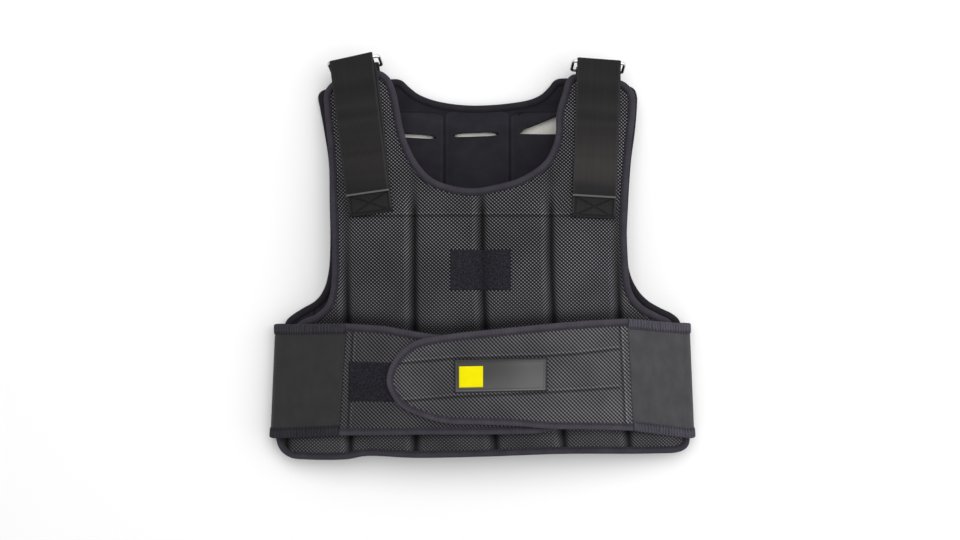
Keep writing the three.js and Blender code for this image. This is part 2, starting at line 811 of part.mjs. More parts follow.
function tab(shoulder) {
  const frame = shoulderFrame(shoulder);
  const bar = frame.start.clone().addScaledVector(ringShort(frame), RING_HEIGHT);
  const row = (down, level) => [-0.5, 0, 0.5].map((share) => {
    const place = bar.clone()
      .addScaledVector(frame.across, share * TAB_WIDTH + shoulder.tabSlip)
      .addScaledVector(frame.down, down);
    if (level !== null) place.z = level;
    return place;
  });
  const rise = Math.atan2(bar.z - TAB_SEWN_LEVEL, TAB_REACH);
  const grid = [];
  grid.push(row(TAB_REACH + TAB_SEWN_LENGTH, TAB_SEWN_LEVEL));
  grid.push(row(TAB_REACH + TAB_BEND, TAB_SEWN_LEVEL));
  for (let step = 0; step <= TAB_BEND_STEPS; step += 1) {
    const angle = -Math.PI / 2 + rise + (Math.PI * step) / TAB_BEND_STEPS;
    const ends = row(-Math.cos(angle) * BEND_RADIUS, null);
    for (const place of ends) place.z += Math.sin(angle) * BEND_RADIUS;
    grid.push(ends);
  }
  const upperLevel = TAB_SEWN_LEVEL + STRAP_THICKNESS + LAYER_GAP;
  grid.push(row(TAB_REACH + TAB_BEND + LAYER_GAP, upperLevel));
  grid.push(row(TAB_REACH + TAB_SEWN_LENGTH, upperLevel));
  return named(`tab_${shoulder.side}`, sheetGeometry(grid, STRAP_THICKNESS), 'webbing');
}

// Chest patch: a soft rectangle that dips into the middle groove
const CHEST_PATCH = { left: -36, right: 32, top: 6.6, bottom: -38.5 };
const CHEST_PATCH_GAP = 0.8;
const PATCH_NEAR = 7.6;
const PATCH_FAR = 20.6;
const CHEST_PATCH_ROWS = 4;

function chestPatch() {
  const grid = [];
  for (let row = 0; row <= CHEST_PATCH_ROWS; row += 1) {
    const y = mix(CHEST_PATCH.bottom, CHEST_PATCH.top, row / CHEST_PATCH_ROWS);
    const fold = frontGrooveX(2, y);
    const near = [-PATCH_FAR, -PATCH_NEAR, 0, PATCH_NEAR, PATCH_FAR].map((offset) => fold + offset);
    const places = [CHEST_PATCH.left, ...near, CHEST_PATCH.right];
    grid.push(places.map((x) => {
      const z = crownHeight(x, y) - frontHeights.topGroove(x, y) + CHEST_PATCH_GAP + PATCH_THICKNESS / 2;
      return new THREE.Vector3(x, y, z);
    }));
  }
  return named('chest_patch', sheetGeometry(grid, PATCH_THICKNESS), 'loop');
}

// Belt flaps: edges from the elastic to the rounded tip, and the tip itself
const UNDER_EDGE = [
  [-0.636, -0.3265, -0.674, -0.874],
  [-0.46, -0.337, -0.49, -0.869],
  [-0.365, -0.353, -0.29, -0.864],
  [-0.25, -0.372, -0.012, -0.862],
  [-0.02, -0.394, 0.15, -0.86],
  [0.15, -0.415, 0.28, -0.854],
  [0.3, -0.449, 0.36, -0.826],
  [0.4, -0.508, 0.42, -0.746],
];
const UNDER_TIP = [0.445, -0.627];

const OVER_EDGE = [
  [0.678, -0.3025, 0.71, -0.852],
  [0.478, -0.311, 0.512, -0.84],
  [0.314, -0.324, 0.314, -0.833],
  [0.15, -0.34, 0.15, -0.818],
  [-0.012, -0.357, -0.012, -0.811],
  [-0.115, -0.368, -0.178, -0.804],
  [-0.302, -0.403, -0.339, -0.753],
  [-0.364, -0.442, -0.395, -0.715],
  [-0.425, -0.518, -0.434, -0.652],
];
const OVER_TIP = [-0.447, -0.597];

// Level of a belt layer above the floor: the hull of the front panel plus its lift
function underLevel(x, y) {
  return crownHeight(x, y) + BELT_LIFT + CLOTH / 2;
}

function overLevel(x, y) {
  const lift = mix(OVER_LIFT, BELT_LIFT, smooth((x - OVERLAP_END) / OVERLAP_EASE));
  return crownHeight(x, y) + lift + CLOTH / 2;
}

// Cloth normal at a place of a level function
function levelNormal(level, x, y) {
  const step = 1;
  const slopeX = (level(x + step, y) - level(x - step, y)) / (2 * step);
  const slopeY = (level(x, y + step) - level(x, y - step)) / (2 * step);
  return new THREE.Vector3(-slopeX, -slopeY, 1).normalize();
}

const FLAP_STEPS = 2;
const FLAP_ROW_SHARES = [0, 0.25, 0.5, 0.75, 1];
const TIP_COLUMNS_LEFT_OUT = 1;

function flapLine(edge, tip) {
  const upper = edge.map(([across, up]) => [across, up]);
  const lower = edge.map(([, , across, up]) => [across, up]).reverse();
  const knots = [...upper, tip, ...lower]
    .map(([across, up]) => new THREE.Vector3(across * HALF_WIDTH, up * HALF_LENGTH, 0));
  const curve = new THREE.CatmullRomCurve3(knots, false, 'centripetal');
  return curve.getPoints((knots.length - 1) * FLAP_STEPS).map((point) => new THREE.Vector2(point.x, point.y));
}

function flap(name, edge, tip, level, inwardSign) {
  const line = flapLine(edge, tip);
  const normals = inwardNormals(line, false).map((normal) => normal.multiplyScalar(inwardSign));
  const border = line[line.length - 1].clone().sub(line[0]).normalize();
  normals[0].copy(border);
  normals[line.length - 1].copy(border).negate();
  const inner = insetPoints(line, normals, BELT_TAPE_WALL + BELT_TAPE_GAP);
  const last = inner.length - 1;
  const grid = [];
  for (let column = 0; column < (last / 2) - TIP_COLUMNS_LEFT_OUT; column += 1) {
    const high = inner[column];
    const low = inner[last - column];
    grid.push(FLAP_ROW_SHARES.map((share) => {
      const place = high.clone().lerp(low, share);
      return new THREE.Vector3(place.x, place.y, level(place.x, place.y));
    }));
  }
  const stations = line.map((place, index) => {
    const normal = normals[index];
    const facing = levelNormal(level, place.x, place.y);
    const inward = new THREE.Vector3(normal.x, normal.y, 0);
    inward.addScaledVector(facing, -inward.dot(facing));
    return { point: new THREE.Vector3(place.x, place.y, level(place.x, place.y)), inward, facing };
  });
  const halfGap = CLOTH / 2 + BELT_TAPE_GAP;
  return [
    named(name, sheetGeometry(grid, CLOTH), 'mesh'),
    named(`${name}_tape`, tapeGeometry(stations, FLAP_TAPE_DEPTH, halfGap, BELT_TAPE_WALL, false), 'tape'),
  ];
}

// Elastic sides: from under the back panel round the fold and up to the flap's border
const ELASTICS = [
  { side: 'left', sign: -1, edge: UNDER_EDGE, foldTop: -0.3355, foldLow: -0.897 },
  { side: 'right', sign: 1, edge: OVER_EDGE, foldTop: -0.331, foldLow: -0.897 },
];
const FLOOR_GAP = 0.05;
const FLOOR_SHARES = [0, 0.5, 1];
const FOLD_ANGLES = [-60, -30, 0, 30, 58];
const TOP_SHARES = [0.12, 0.35, 0.65, 1];
const ELASTIC_ROW_SHARES = [0, 0.33, 0.67, 1];

function elasticPoint(elastic, share, inset, station) {
  const [topAcross, topUp, lowAcross, lowUp] = elastic.edge[0];
  const height = (elastic.foldTop - elastic.foldLow) * HALF_LENGTH;
  const way = mix(inset / height, 1 - inset / height, share);
  const foldY = mix(elastic.foldTop, elastic.foldLow, way) * HALF_LENGTH;
  const endY = mix(topUp, lowUp, way) * HALF_LENGTH;
  const endX = Math.abs(mix(topAcross, lowAcross, way)) * HALF_WIDTH + JOIN_GAP;
  const halfTape = CLOTH / 2 + BELT_TAPE_GAP + BELT_TAPE_WALL;
  const foldX = mix(FOLD_IN, FOLD_OUT, way) - halfTape - FOLD_DEPTH;
  const floorLevel = FLOOR_GAP + halfTape;
  const topLevel = crownHeight(foldX, foldY) + BELT_LIFT + CLOTH / 2;
  if (station.part === 'floor') {
    const floorX = mix(UNDER_REACH + JOIN_GAP, foldX, station.share);
    return new THREE.Vector3(elastic.sign * floorX, foldY, floorLevel);
  }
  if (station.part === 'fold') {
    const angle = THREE.MathUtils.degToRad(station.angle);
    const z = (floorLevel + topLevel) / 2 + Math.sin(angle) * (topLevel - floorLevel) / 2;
    return new THREE.Vector3(elastic.sign * (foldX + Math.cos(angle) * FOLD_DEPTH), foldY, z);
  }
  const x = mix(foldX, endX, station.share);
  const y = mix(foldY, endY, station.share);
  return new THREE.Vector3(elastic.sign * x, y, crownHeight(x, y) + BELT_LIFT + CLOTH / 2);
}

function elasticStations() {
  return [
    ...FLOOR_SHARES.map((share) => ({ part: 'floor', share })),
    ...FOLD_ANGLES.map((angle) => ({ part: 'fold', angle })),
    ...TOP_SHARES.map((share) => ({ part: 'top', share })),
  ];
}

function elasticTape(elastic, name, edgeShare) {
  const ways = elasticStations();
  const line = ways.map((station) => elasticPoint(elastic, edgeShare, 0, station));
  const other = ways.map((station) => elasticPoint(elastic, edgeShare, ELASTIC_TAPE_DEPTH, station));
  const stations = line.map((point, index) => {
    const before = line[Math.max(0, index - 1)];
    const after = line[Math.min(line.length - 1, index + 1)];
    const heading = after.clone().sub(before).normalize();
    const inward = other[index].clone().sub(point).normalize();
    const facing = new THREE.Vector3().crossVectors(heading, inward).normalize();
    return { point, inward, facing };
  });
  const halfGap = CLOTH / 2 + BELT_TAPE_GAP;
  return named(name, tapeGeometry(stations, ELASTIC_TAPE_DEPTH, halfGap, BELT_TAPE_WALL, false), 'tape');
}

function elasticPieces(elastic) {
  const inset = BELT_TAPE_WALL + BELT_TAPE_GAP;
  const grid = elasticStations().map((station) => (
    ELASTIC_ROW_SHARES.map((share) => elasticPoint(elastic, share, inset, station))
  ));
  const name = `elastic_${elastic.side}`;
  return [
    named(name, sheetGeometry(grid, CLOTH), 'elastic'),
    elasticTape(elastic, `${name}_top_tape`, 0),
    elasticTape(elastic, `${name}_low_tape`, 1),
  ];
}

// Flat part of the belt under the back panel
function beltBack() {
  const top = ELASTICS[0].foldTop * HALF_LENGTH;
  const low = ELASTICS[0].foldLow * HALF_LENGTH;
  const slab = wasm.Manifold.cube([2 * UNDER_REACH, top - low, BELT_BACK_THICKNESS])
    .translate([-UNDER_REACH, low, 0]);
  return named('belt_back', fromManifold(slab), 'mesh');
}

// Loop patch on the under flap, running on below the over flap
const BELT_PATCH = { left: -152.5, right: -60, top: -121, bottom: -166 };
const PATCH_COLUMNS = 5;
const PATCH_ROWS = 3;

function patchGrid(patch, level, lift, thickness, columns, rows) {
  const grid = [];
  for (let row = 0; row <= rows; row += 1) {
    const places = [];
    for (let column = 0; column <= columns; column += 1) {
      const x = mix(patch.left, patch.right, column / columns);
      const turn = (patch.tilt || 0) * (x - (patch.left + patch.right) / 2);
      const y = mix(patch.bottom, patch.top, row / rows) + turn;
      places.push(new THREE.Vector3(x, y, level(x, y) + lift + thickness / 2));
    }
    grid.push(places);
  }
  return grid;
}

function beltPatch() {
  const lift = CLOTH / 2 + PATCH_GAP;
  const grid = patchGrid(BELT_PATCH, underLevel, lift, PATCH_THICKNESS, PATCH_COLUMNS, PATCH_ROWS);
  return named('belt_patch', sheetGeometry(grid, PATCH_THICKNESS), 'loop');
}

// Badge on the over flap and the plain square on it
const BADGE = { left: -32, right: 73, top: -116.2, bottom: -154, tilt: 0.02 };
const SQUARE = { left: -26.5, right: 0.5, top: -124.5, bottom: -148.5, tilt: 0.02 };
const BADGE_COLUMNS = 8;

function badgePieces() {
  const badgeLift = CLOTH / 2 + PATCH_GAP;
  const squareLift = badgeLift + BADGE_THICKNESS + PATCH_GAP;
  const badge = patchGrid(BADGE, overLevel, badgeLift, BADGE_THICKNESS, BADGE_COLUMNS, 2);
  const square = patchGrid(SQUARE, overLevel, squareLift, SQUARE_THICKNESS, 3, 2);
  return [
    named('badge', sheetGeometry(badge, BADGE_THICKNESS), 'rubber'),
    named('badge_square', sheetGeometry(square, SQUARE_THICKNESS), 'accent'),
  ];
}

// The whole vest, moved so that it is centred over the origin and stands on the floor
function vest() {
  const group = new THREE.Group();
  group.name = 'weighted_vest';
  group.add(...frontPieces(), ...backPieces());
  for (const shoulder of SHOULDERS) group.add(strap(shoulder), ring(shoulder), tab(shoulder));
  group.add(chestPatch(), beltBack());
  for (const elastic of ELASTICS) group.add(...elasticPieces(elastic));
  group.add(...flap('under_flap', UNDER_EDGE, UNDER_TIP, underLevel, 1));
  group.add(...flap('over_flap', OVER_EDGE, OVER_TIP, overLevel, -1));
  group.add(beltPatch(), ...badgePieces());
  const box = new THREE.Box3().setFromObject(group);
  const centre = box.getCenter(new THREE.Vector3());
  for (const mesh of group.children) mesh.geometry.translate(-centre.x, -centre.y, -box.min.z);
  return group;
}

export default vest();
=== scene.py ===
import bpy
import numpy as np
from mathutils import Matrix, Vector
from mathutils.geometry import delaunay_2d_cdt


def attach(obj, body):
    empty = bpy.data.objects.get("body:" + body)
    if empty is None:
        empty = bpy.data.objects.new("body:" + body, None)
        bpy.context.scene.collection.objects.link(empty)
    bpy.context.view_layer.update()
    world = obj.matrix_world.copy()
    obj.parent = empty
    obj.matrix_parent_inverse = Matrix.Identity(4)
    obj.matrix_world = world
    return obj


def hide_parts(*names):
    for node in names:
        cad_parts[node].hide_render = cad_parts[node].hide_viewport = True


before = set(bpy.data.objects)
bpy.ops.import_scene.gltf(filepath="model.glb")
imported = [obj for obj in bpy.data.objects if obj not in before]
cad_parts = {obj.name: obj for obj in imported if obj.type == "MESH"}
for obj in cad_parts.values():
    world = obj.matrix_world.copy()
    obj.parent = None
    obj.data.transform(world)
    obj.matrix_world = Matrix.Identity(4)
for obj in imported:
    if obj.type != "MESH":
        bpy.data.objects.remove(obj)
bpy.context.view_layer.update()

# Camera and studio
# The vest lies on a pale floor and is seen from two metres straight above, under a large soft light
# overhead and a lower one from its right side.
scene = bpy.context.scene
scene.view_settings.view_transform = "Standard"
FOCAL_LENGTH = 65.8
CAMERA_PLACE = (-0.00285, -0.016, 2.07)
camera_data = bpy.data.cameras.new("studio_camera")
camera_data.sensor_width = 36.0
camera_data.lens = FOCAL_LENGTH
camera = bpy.data.objects.new("studio_camera", camera_data)
camera.location = CAMERA_PLACE
scene.collection.objects.link(camera)
scene.camera = camera

studio_world = bpy.data.worlds.new("studio_air")
studio_world.use_nodes = True
studio_world.node_tree.nodes["Background"].inputs["Color"].default_value = (1.0, 1.0, 1.0, 1.0)
studio_world.node_tree.nodes["Background"].inputs["Strength"].default_value = 0.66
scene.world = studio_world


def soft_light(name, place, aim, side, power):
    """A square area light of the given side at a place, turned towards a point."""
    data = bpy.data.lights.new(name, "AREA")
    data.size = side
    data.energy = power
    lamp = bpy.data.objects.new(name, data)
    lamp.location = place
    lamp.rotation_euler = (Vector(aim) - Vector(place)).to_track_quat("-Z", "Y").to_euler()
    scene.collection.objects.link(lamp)


soft_light("overhead_light", (0.1, 1.0, 2.5), (0.0, 0.0, 0.0), 2.0, 38.0)
soft_light("side_light", (2.0, 0.0, 2.0), (0.0, -0.02, 0.03), 2.6, 27.5)

floor_mesh = bpy.data.meshes.new("studio_floor")
FLOOR_REACH, FLOOR_LEVEL = 6.0, -0.0003
floor_corners = [
    (FLOOR_REACH * x, FLOOR_REACH * y, FLOOR_LEVEL) for x, y in ((-1, -1), (1, -1), (1, 1), (-1, 1))]
floor_mesh.from_pydata(floor_corners, [], [(0, 1, 2, 3)])
floor = bpy.data.objects.new("studio_floor", floor_mesh)
scene.collection.objects.link(floor)
floor_paint = bpy.data.materials.new("floor_paint")
floor_paint.use_nodes = True
floor_paint.node_tree.nodes["Principled BSDF"].inputs["Base Color"].default_value = (0.86, 0.86, 0.865, 1.0)
floor_paint.node_tree.nodes["Principled BSDF"].inputs["Roughness"].default_value = 0.9
floor_mesh.materials.append(floor_paint)


# Back panel
# The back of the vest lies flat on the floor: two layers of cloth quilted over foam into upright
# channels, with a smooth dark lining inside and three pockets that open in short slits.
MM = 0.001
HALF_WIDTH = 0.244
HALF_LENGTH = 0.236
CHANNEL_PITCH = 0.0765

BACK_SIDES = np.array([
    (-.87, -.968, .968), (-.636, -.963, .965), (-.39, -.957, .96), (-.322, -.945, .95), (-.288, -.91, .918),
    (-.254, -.858, .852), (-.22, -.803, .797), (-.169, -.766, .75), (-.085, -.742, .711), (.042, -.733, .696),
    (.28, -.736, .703), (.466, -.74, .715), (.636, -.764, .736), (.742, -.783, .744), (.797, -.791, .744),
])
BACK_SHOULDERS = np.array([
    (-.775, .823, .729, .835), (-.68, .847, .656, .86), (-.57, .866, .54, .877), (-.45, .882, .41, .887),
    (-.393, .878, .352, .879),
])
BACK_NECK = np.array([(.84, -.35, .318), (.808, -.309, .286), (.781, -.247, .231), (.761, -.16, .121)])
BACK_NECK_LOW = (-.041, .751)
BACK_HEM = np.array([
    (-.94, -.935), (-.88, -.965), (-.5, -.96), (0, -.955), (.5, -.95), (.88, -.95), (.945, -.925),
])


def smooth(share):
    """The share held between 0 and 1, then eased: three squares less two cubes."""
    held = np.clip(share, 0.0, 1.0)
    return held * held * (3.0 - 2.0 * held)


def mix(start, end, share):
    """The start plus the share of the way to the end."""
    return start + (end - start) * share


def unit(rows):
    """Each row divided by its length."""
    return rows / np.linalg.norm(rows, axis=-1, keepdims=True)


def lengths_along(line):
    """How far along an open line each of its points is: the running sum of its steps' lengths."""
    return np.concatenate([[0], np.cumsum(np.linalg.norm(np.diff(line, axis=0), axis=1))])


def stacked(*values):
    """Arrays spread to one shape and put side by side along a new last axis."""
    return np.stack(np.broadcast_arrays(*values), axis=-1)


def rounded_curve(knots, steps, closed):
    """Centripetal Catmull-Rom curve: each span is the cubic through its two knots whose end slopes come
    from the neighbouring chords, each divided by the square root of its length."""
    knots = np.asarray(knots, dtype=float)
    if closed:
        before, here, there, after = (np.roll(knots, turn, axis=0) for turn in (1, 0, -1, -2))
    else:
        grown = np.vstack([2 * knots[0] - knots[1], knots, 2 * knots[-1] - knots[-2]])
        before, here, there, after = grown[:-3], grown[1:-2], grown[2:-1], grown[3:]
    gap_a, gap_b, gap_c = (
        np.sqrt(np.linalg.norm(last - first, axis=1))[:, None]
        for first, last in ((before, here), (here, there), (there, after))
    )
    chord = (there - here) / gap_b
    slope_a = ((here - before) / gap_a - (there - before) / (gap_a + gap_b) + chord) * gap_b
    slope_b = (chord - (after - here) / (gap_b + gap_c) + (after - there) / gap_c) * gap_b
    t = (np.arange(steps) / steps)[None, :, None]
    points = (
        (2 * t**3 - 3 * t**2 + 1) * here[:, None] + (t**3 - 2 * t**2 + t) * slope_a[:, None]
        + (3 * t**2 - 2 * t**3) * there[:, None] + (t**3 - t**2) * slope_b[:, None]
    ).reshape(-1, knots.shape[1])
    return points if closed else np.vstack([points, knots[-1]])


def evenly(points, step, closed):
    """The same line with its points set at one even step along its length."""
    line = np.vstack([points, points[:1]]) if closed else points
    lengths = lengths_along(line)
    count = max(3, int(round(lengths[-1] / step)))
    places = np.linspace(0, lengths[-1], count + 1)[: count if closed else count + 1]
    return stacked(*(np.interp(places, lengths, column) for column in line.T))


def panel_outline(sides, shoulders, neck, neck_low, hem):
    """Clockwise line from the left end of the hem: up the left side, over the left shoulder, down and up
    the neckline, over the right shoulder, down the right side and back along the hem."""
    knots = np.vstack([
        sides[:, [1, 0]], shoulders[:, [0, 1]], neck[:, [1, 0]], [neck_low], neck[::-1][:, [2, 0]],
        shoulders[::-1][:, [2, 3]], sides[::-1][:, [2, 0]], hem[::-1],
    ])
    return evenly(rounded_curve(knots * (HALF_WIDTH, HALF_LENGTH), 12, True), 2.6 * MM, True)


def inward_normals(line, closed, reach=2):
    """Unit normals to the right of the line's heading, where the heading is taken over a few points."""
    if closed:
        heading = np.roll(line, -reach, axis=0) - np.roll(line, reach, axis=0)
    else:
        heading = np.gradient(line, axis=0)
    return unit(heading)[:, ::-1] * (1, -1)


def depth_inside(line, places):
    """Distance of each place to the closed line, positive inside: the least distance to any of its
    segments, with the side found by counting the segments that a ray to the right crosses."""
    start, end = line, np.roll(line, -1, axis=0)
    step = end - start
    square = (step**2).sum(axis=1)
    found = []
    for part in np.array_split(places, max(1, len(places) // 1500)):
        offset = part[:, None, :] - start[None]
        share = np.clip((offset * step[None]).sum(axis=2) / square, 0, 1)
        nearest = np.sqrt(((offset - share[..., None] * step[None]) ** 2).sum(axis=2).min(axis=1))
        y = part[:, 1:2]
        crossing = (start[None, :, 1] > y) != (end[None, :, 1] > y)
        rise = np.where(step[:, 1] == 0, 1e-12, step[:, 1])
        right = part[:, 0:1] < start[:, 0] + (y - start[:, 1]) / rise * step[:, 0]
        found.append(np.where((crossing & right).sum(axis=1) % 2 == 1, nearest, -nearest))
    return np.concatenate(found)


def filled_outline(line, step_x, step_y, margin):
    """Flat triangles that fill a closed line: the line's own points and a staggered grid inside it,
    joined by a constrained Delaunay triangulation. Gives the places and the triangles."""
    low, high = line.min(axis=0), line.max(axis=0)
    x, y = np.meshgrid(np.arange(low[0], high[0], step_x), np.arange(low[1], high[1], step_y))
    x = x + (np.arange(x.shape[0]) % 2)[:, None] * step_x / 2
    inner = stacked(x.ravel(), y.ravel())
    inner = inner[depth_inside(line, inner) > margin]
    places = np.vstack([line, inner])
    count = len(line)
    edges = [(index, (index + 1) % count) for index in range(count)]
    made = delaunay_2d_cdt([Vector(place) for place in places.tolist()], edges, [], 1, 1e-7)
    places = np.array([tuple(place) for place in made[0]])
    faces = np.array(made[2])
    a, b, c = (places[faces[:, corner]] for corner in range(3))
    area = (b[:, 0] - a[:, 0]) * (c[:, 1] - a[:, 1]) - (b[:, 1] - a[:, 1]) * (c[:, 0] - a[:, 0])
    faces[area < 0] = faces[area < 0][:, ::-1]
    return places, faces


def two_layers(places, faces, top, bottom):
    """Closed shell: the triangles at the top heights, the same turned over at the bottom heights, and a
    wall between their free edges."""
    count = len(places)
    points = np.vstack([np.column_stack([places, top]), np.column_stack([places, bottom])])
    edges = np.vstack([faces[:, [0, 1]], faces[:, [1, 2]], faces[:, [2, 0]]])
    keys = np.sort(edges, axis=1) @ np.array([count, 1])
    _, first, uses = np.unique(keys, return_index=True, return_counts=True)
    a, b = edges[first[uses == 1]].T
    wall = np.vstack([np.stack([b, a, a + count], axis=1), np.stack([b, a + count, b + count], axis=1)])
    return points, np.vstack([faces, faces[:, ::-1] + count, wall])


def cloth_piece(name, points, faces, cloth, finish, node):
    """A piece from its points, its faces and each point's place on the flat cloth in metres, which becomes
    its UV map. It rides on the vest and stands for a CAD node, which it hides."""
    mesh = bpy.data.meshes.new(name)
    mesh.from_pydata(points.tolist(), [], faces if isinstance(faces, list) else faces.tolist())
    layer = mesh.uv_layers.new(name="cloth")
    corners = np.zeros(len(mesh.loops), dtype=np.int32)
    mesh.loops.foreach_get("vertex_index", corners)
    layer.data.foreach_set("uv", np.asarray(cloth)[corners].ravel())
    mesh.polygons.foreach_set("use_smooth", np.ones(len(mesh.polygons), dtype=bool))
    mesh.materials.append(finish)
    mesh.update()
    piece = bpy.data.objects.new(name, mesh)
    scene.collection.objects.link(piece)
    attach(piece, "root")
    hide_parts(node)
    return piece


def ripples(x, y, size, seed):
    """Gentle uneven cloth, mostly between -1 and 1: the sum of nine sine waves over 3.5, whose
    directions, lengths near the given size and phases come from a seeded table."""
    dice = np.random.default_rng(seed)
    turn = dice.uniform(0, 2 * np.pi, 9)
    length = size * dice.uniform(0.6, 1.7, 9)
    phase = dice.uniform(0, 2 * np.pi, 9)
    total = 0.0
    for heading, span, start in zip(turn, length, phase):
        total = total + np.sin(2 * np.pi * (np.cos(heading) * x + np.sin(heading) * y) / span + start)
    return total / 3.5


def new_finish(name, roughness, gloss=0.15):
    """A material with its node tree and Principled shader."""
    material = bpy.data.materials.new(name)
    material.use_nodes = True
    shader = material.node_tree.nodes["Principled BSDF"]
    shader.inputs["Roughness"].default_value = roughness
    shader.inputs["Specular IOR Level"].default_value = gloss
    return material, material.node_tree, shader


class Flow:
    """What a shader node gives out: a number, a colour or a place. Sums, differences, products and
    quotients of flows and plain numbers are Math nodes."""

    def __init__(self, socket):
        self.socket = socket

    def __add__(self, other):
        return maths("ADD", self, other)

    def __sub__(self, other):
        return maths("SUBTRACT", self, other)

    def __rsub__(self, other):
        return maths("SUBTRACT", other, self)

    def __mul__(self, other):
        return maths("MULTIPLY", self, other)

    def __truediv__(self, other):
        return maths("DIVIDE", self, other)

    def __abs__(self):
        return maths("ABSOLUTE", self)

    __radd__, __rmul__ = __add__, __mul__


def wire(tree, kind, inputs, output=0, **settings):
    """An output of a new node, which has the given settings and its inputs linked or set to values."""
    made = tree.nodes.new(kind)
    for key, value in settings.items():
        setattr(made, key, value)
    for key, value in inputs.items():
        if isinstance(value, Flow):
            tree.links.new(value.socket, made.inputs[key])
        else:
            made.inputs[key].default_value = value
    return Flow(made.outputs[output])


def tree_of(*values):
    """The node tree of the first flow among the values."""
    return next(value for value in values if isinstance(value, Flow)).socket.id_data


def maths(operation, *values):
    """The result of a Math node on one, two or three values."""
    return wire(tree_of(*values), "ShaderNodeMath", dict(enumerate(values)), operation=operation)


def greater(first, second):
    """The greater of two numbers."""
    return maths("MAXIMUM", first, second)


def lesser(first, second):
    """The lesser of two numbers."""
    return maths("MINIMUM", first, second)


def wave(value, pitch):
    """Cosine of the value with the given pitch."""
    return maths("COSINE", value * (2 * np.pi / pitch))


def ramp(value, low, high, start, end):
    """The value's place between low and high, eased, as a number from start to end."""
    inputs = {0: value, 1: low, 2: high, 3: start, 4: end}
    return wire(tree_of(value), "ShaderNodeMapRange", inputs, interpolation_type="SMOOTHSTEP")


def blend_colours(share, first, second):
    """Colour between two by a share."""
    inputs = {"Factor": share, 6: first, 7: second}
    return wire(tree_of(share), "ShaderNodeMix", inputs, 2, data_type="RGBA")


def dimmed(colour, share):
    """The colour times a number."""
    return wire(tree_of(colour), "ShaderNodeVectorMath", {0: colour, "Scale": share}, operation="SCALE")


def parts(place):
    """The three numbers of a place."""
    split = wire(tree_of(place), "ShaderNodeSeparateXYZ", {0: place}).socket.node
    return [Flow(socket) for socket in split.outputs]


def cloth_place(tree):
    """The u and v of the piece's flat cloth, in metres, and both as one place."""
    place = wire(tree, "ShaderNodeUVMap", {}, uv_map="cloth")
    u, v, _ = parts(place)
    return u, v, place


def object_place(tree):
    """The place on the object, in metres."""
    return wire(tree, "ShaderNodeTexCoord", {}, "Object")


def kept_value(tree, name, output="Fac"):
    """What the piece keeps for each point under a name, as one number, or as a place from Vector."""
    return wire(tree, "ShaderNodeAttribute", {}, output, attribute_name=name)


def cloud(place, scale, detail=2.0, stretch=None):
    """Noise at a place, as a number about a half. A stretch scales the place along each axis first."""
    if stretch:
        place = wire(tree_of(place), "ShaderNodeMapping", {"Vector": place, "Scale": stretch})
    inputs = {"Vector": place, "Scale": scale, "Detail": detail}
    return wire(tree_of(place), "ShaderNodeTexNoise", inputs, "Fac")


def feed(shader, name, flow):
    """Leads a flow to one of the shader's sockets."""
    tree_of(flow).links.new(flow.socket, shader.inputs[name])


def raise_surface(shader, height, distance):
    """Bump from a height, where one stands for the given distance."""
    inputs = {"Height": height, "Strength": 1.0, "Distance": distance}
    feed(shader, "Normal", wire(tree_of(height), "ShaderNodeBump", inputs))


def lining_finish():
    """Smooth dark lining: a fine plain weave, slow changes of tone and a faint nap; painted shade in the sewn
    channel lines and along the seam that ends the pockets' row, over their dark thread, a painted highlight
    on the cloth just beside each channel line, and duller beyond the seam."""
    material, tree, shader = new_finish("smooth_lining", 0.85)
    u, v, place = cloth_place(tree)
    weave = wave(u, 0.9 * MM) * wave(v, 0.9 * MM)
    tone = cloud(place, 16.0) + weave * 0.12
    colour = blend_colours(
        ramp(tone, 0.2, 0.8, 0.0, 1.0), (0.0128, 0.0119, 0.0163, 1), (0.0188, 0.0177, 0.0232, 1)
    )
    channel = maths("PINGPONG", u - float(BACK_GROOVES[0]), CHANNEL_PITCH / 2)
    turned = maths("EXPONENT", channel / (-5 * MM)) * (6 * MM)
    middle = abs(u - (float(BACK_GROOVES[0]) + 2.5 * CHANNEL_PITCH))
    row = v + turned - ramp(middle, 36.5 * MM, 39.5 * MM, 172 * MM, 169 * MM)
    below = ramp(row, -1.0 * MM, 0.5 * MM, 1.0, 0.0)
    # Painted shade in the creases of the channel lines and of the row seam, together with their dark thread.
    sewn = greater(
        ramp(channel, 0.2 * MM, 1.9 * MM, 1.0, 0.0) * below, ramp(abs(row), 0.2 * MM, 1.7 * MM, 0.9, 0.0)
    )
    # Painted highlight on the cloth beside each channel line.
    edge = ramp(abs(channel - 3.6 * MM), 0.0, 2.2 * MM, 0.22, 0.0) * below
    shade = (edge + 1.0 - sewn * 0.62) * ramp(row, 0.0, 3 * MM, 1.0, 0.72)
    feed(shader, "Base Color", dimmed(colour, shade))
    grain = weave + cloud(place, 900.0) * 1.2
    raise_surface(shader, grain, 0.08 * MM)
    feed(shader, "Roughness", ramp(cloud(place, 60.0), 0.3, 0.7, 0.75, 0.95))
    return material


BACK_GROOVES = -0.809 * HALF_WIDTH + CHANNEL_PITCH * np.arange(6)
RIM_INSET = 1.35 * MM
EDGE_HALF = 2.2 * MM
BACK_EDGE = 8.2 * MM
lining = lining_finish()


def valley(distance, reach):
    """Section of a sewn channel line, 1 at the stitches: a soft V, as e to the minus 1.4th power of the
    distance over the reach."""
    return np.exp(-((np.sqrt(distance**2 + (0.7 * MM) ** 2) / reach) ** 1.4))


def back_groove(x):
    """The deepest of the back's channel valleys at a place across."""
    return np.max([valley(x - line, 7 * MM) for line in BACK_GROOVES], axis=0)


def wing_share(x):
    """0 over the torso, easing to 1 in the wings beyond 210 mm from the middle."""
    return smooth((np.abs(x) - 0.150) / 0.060)


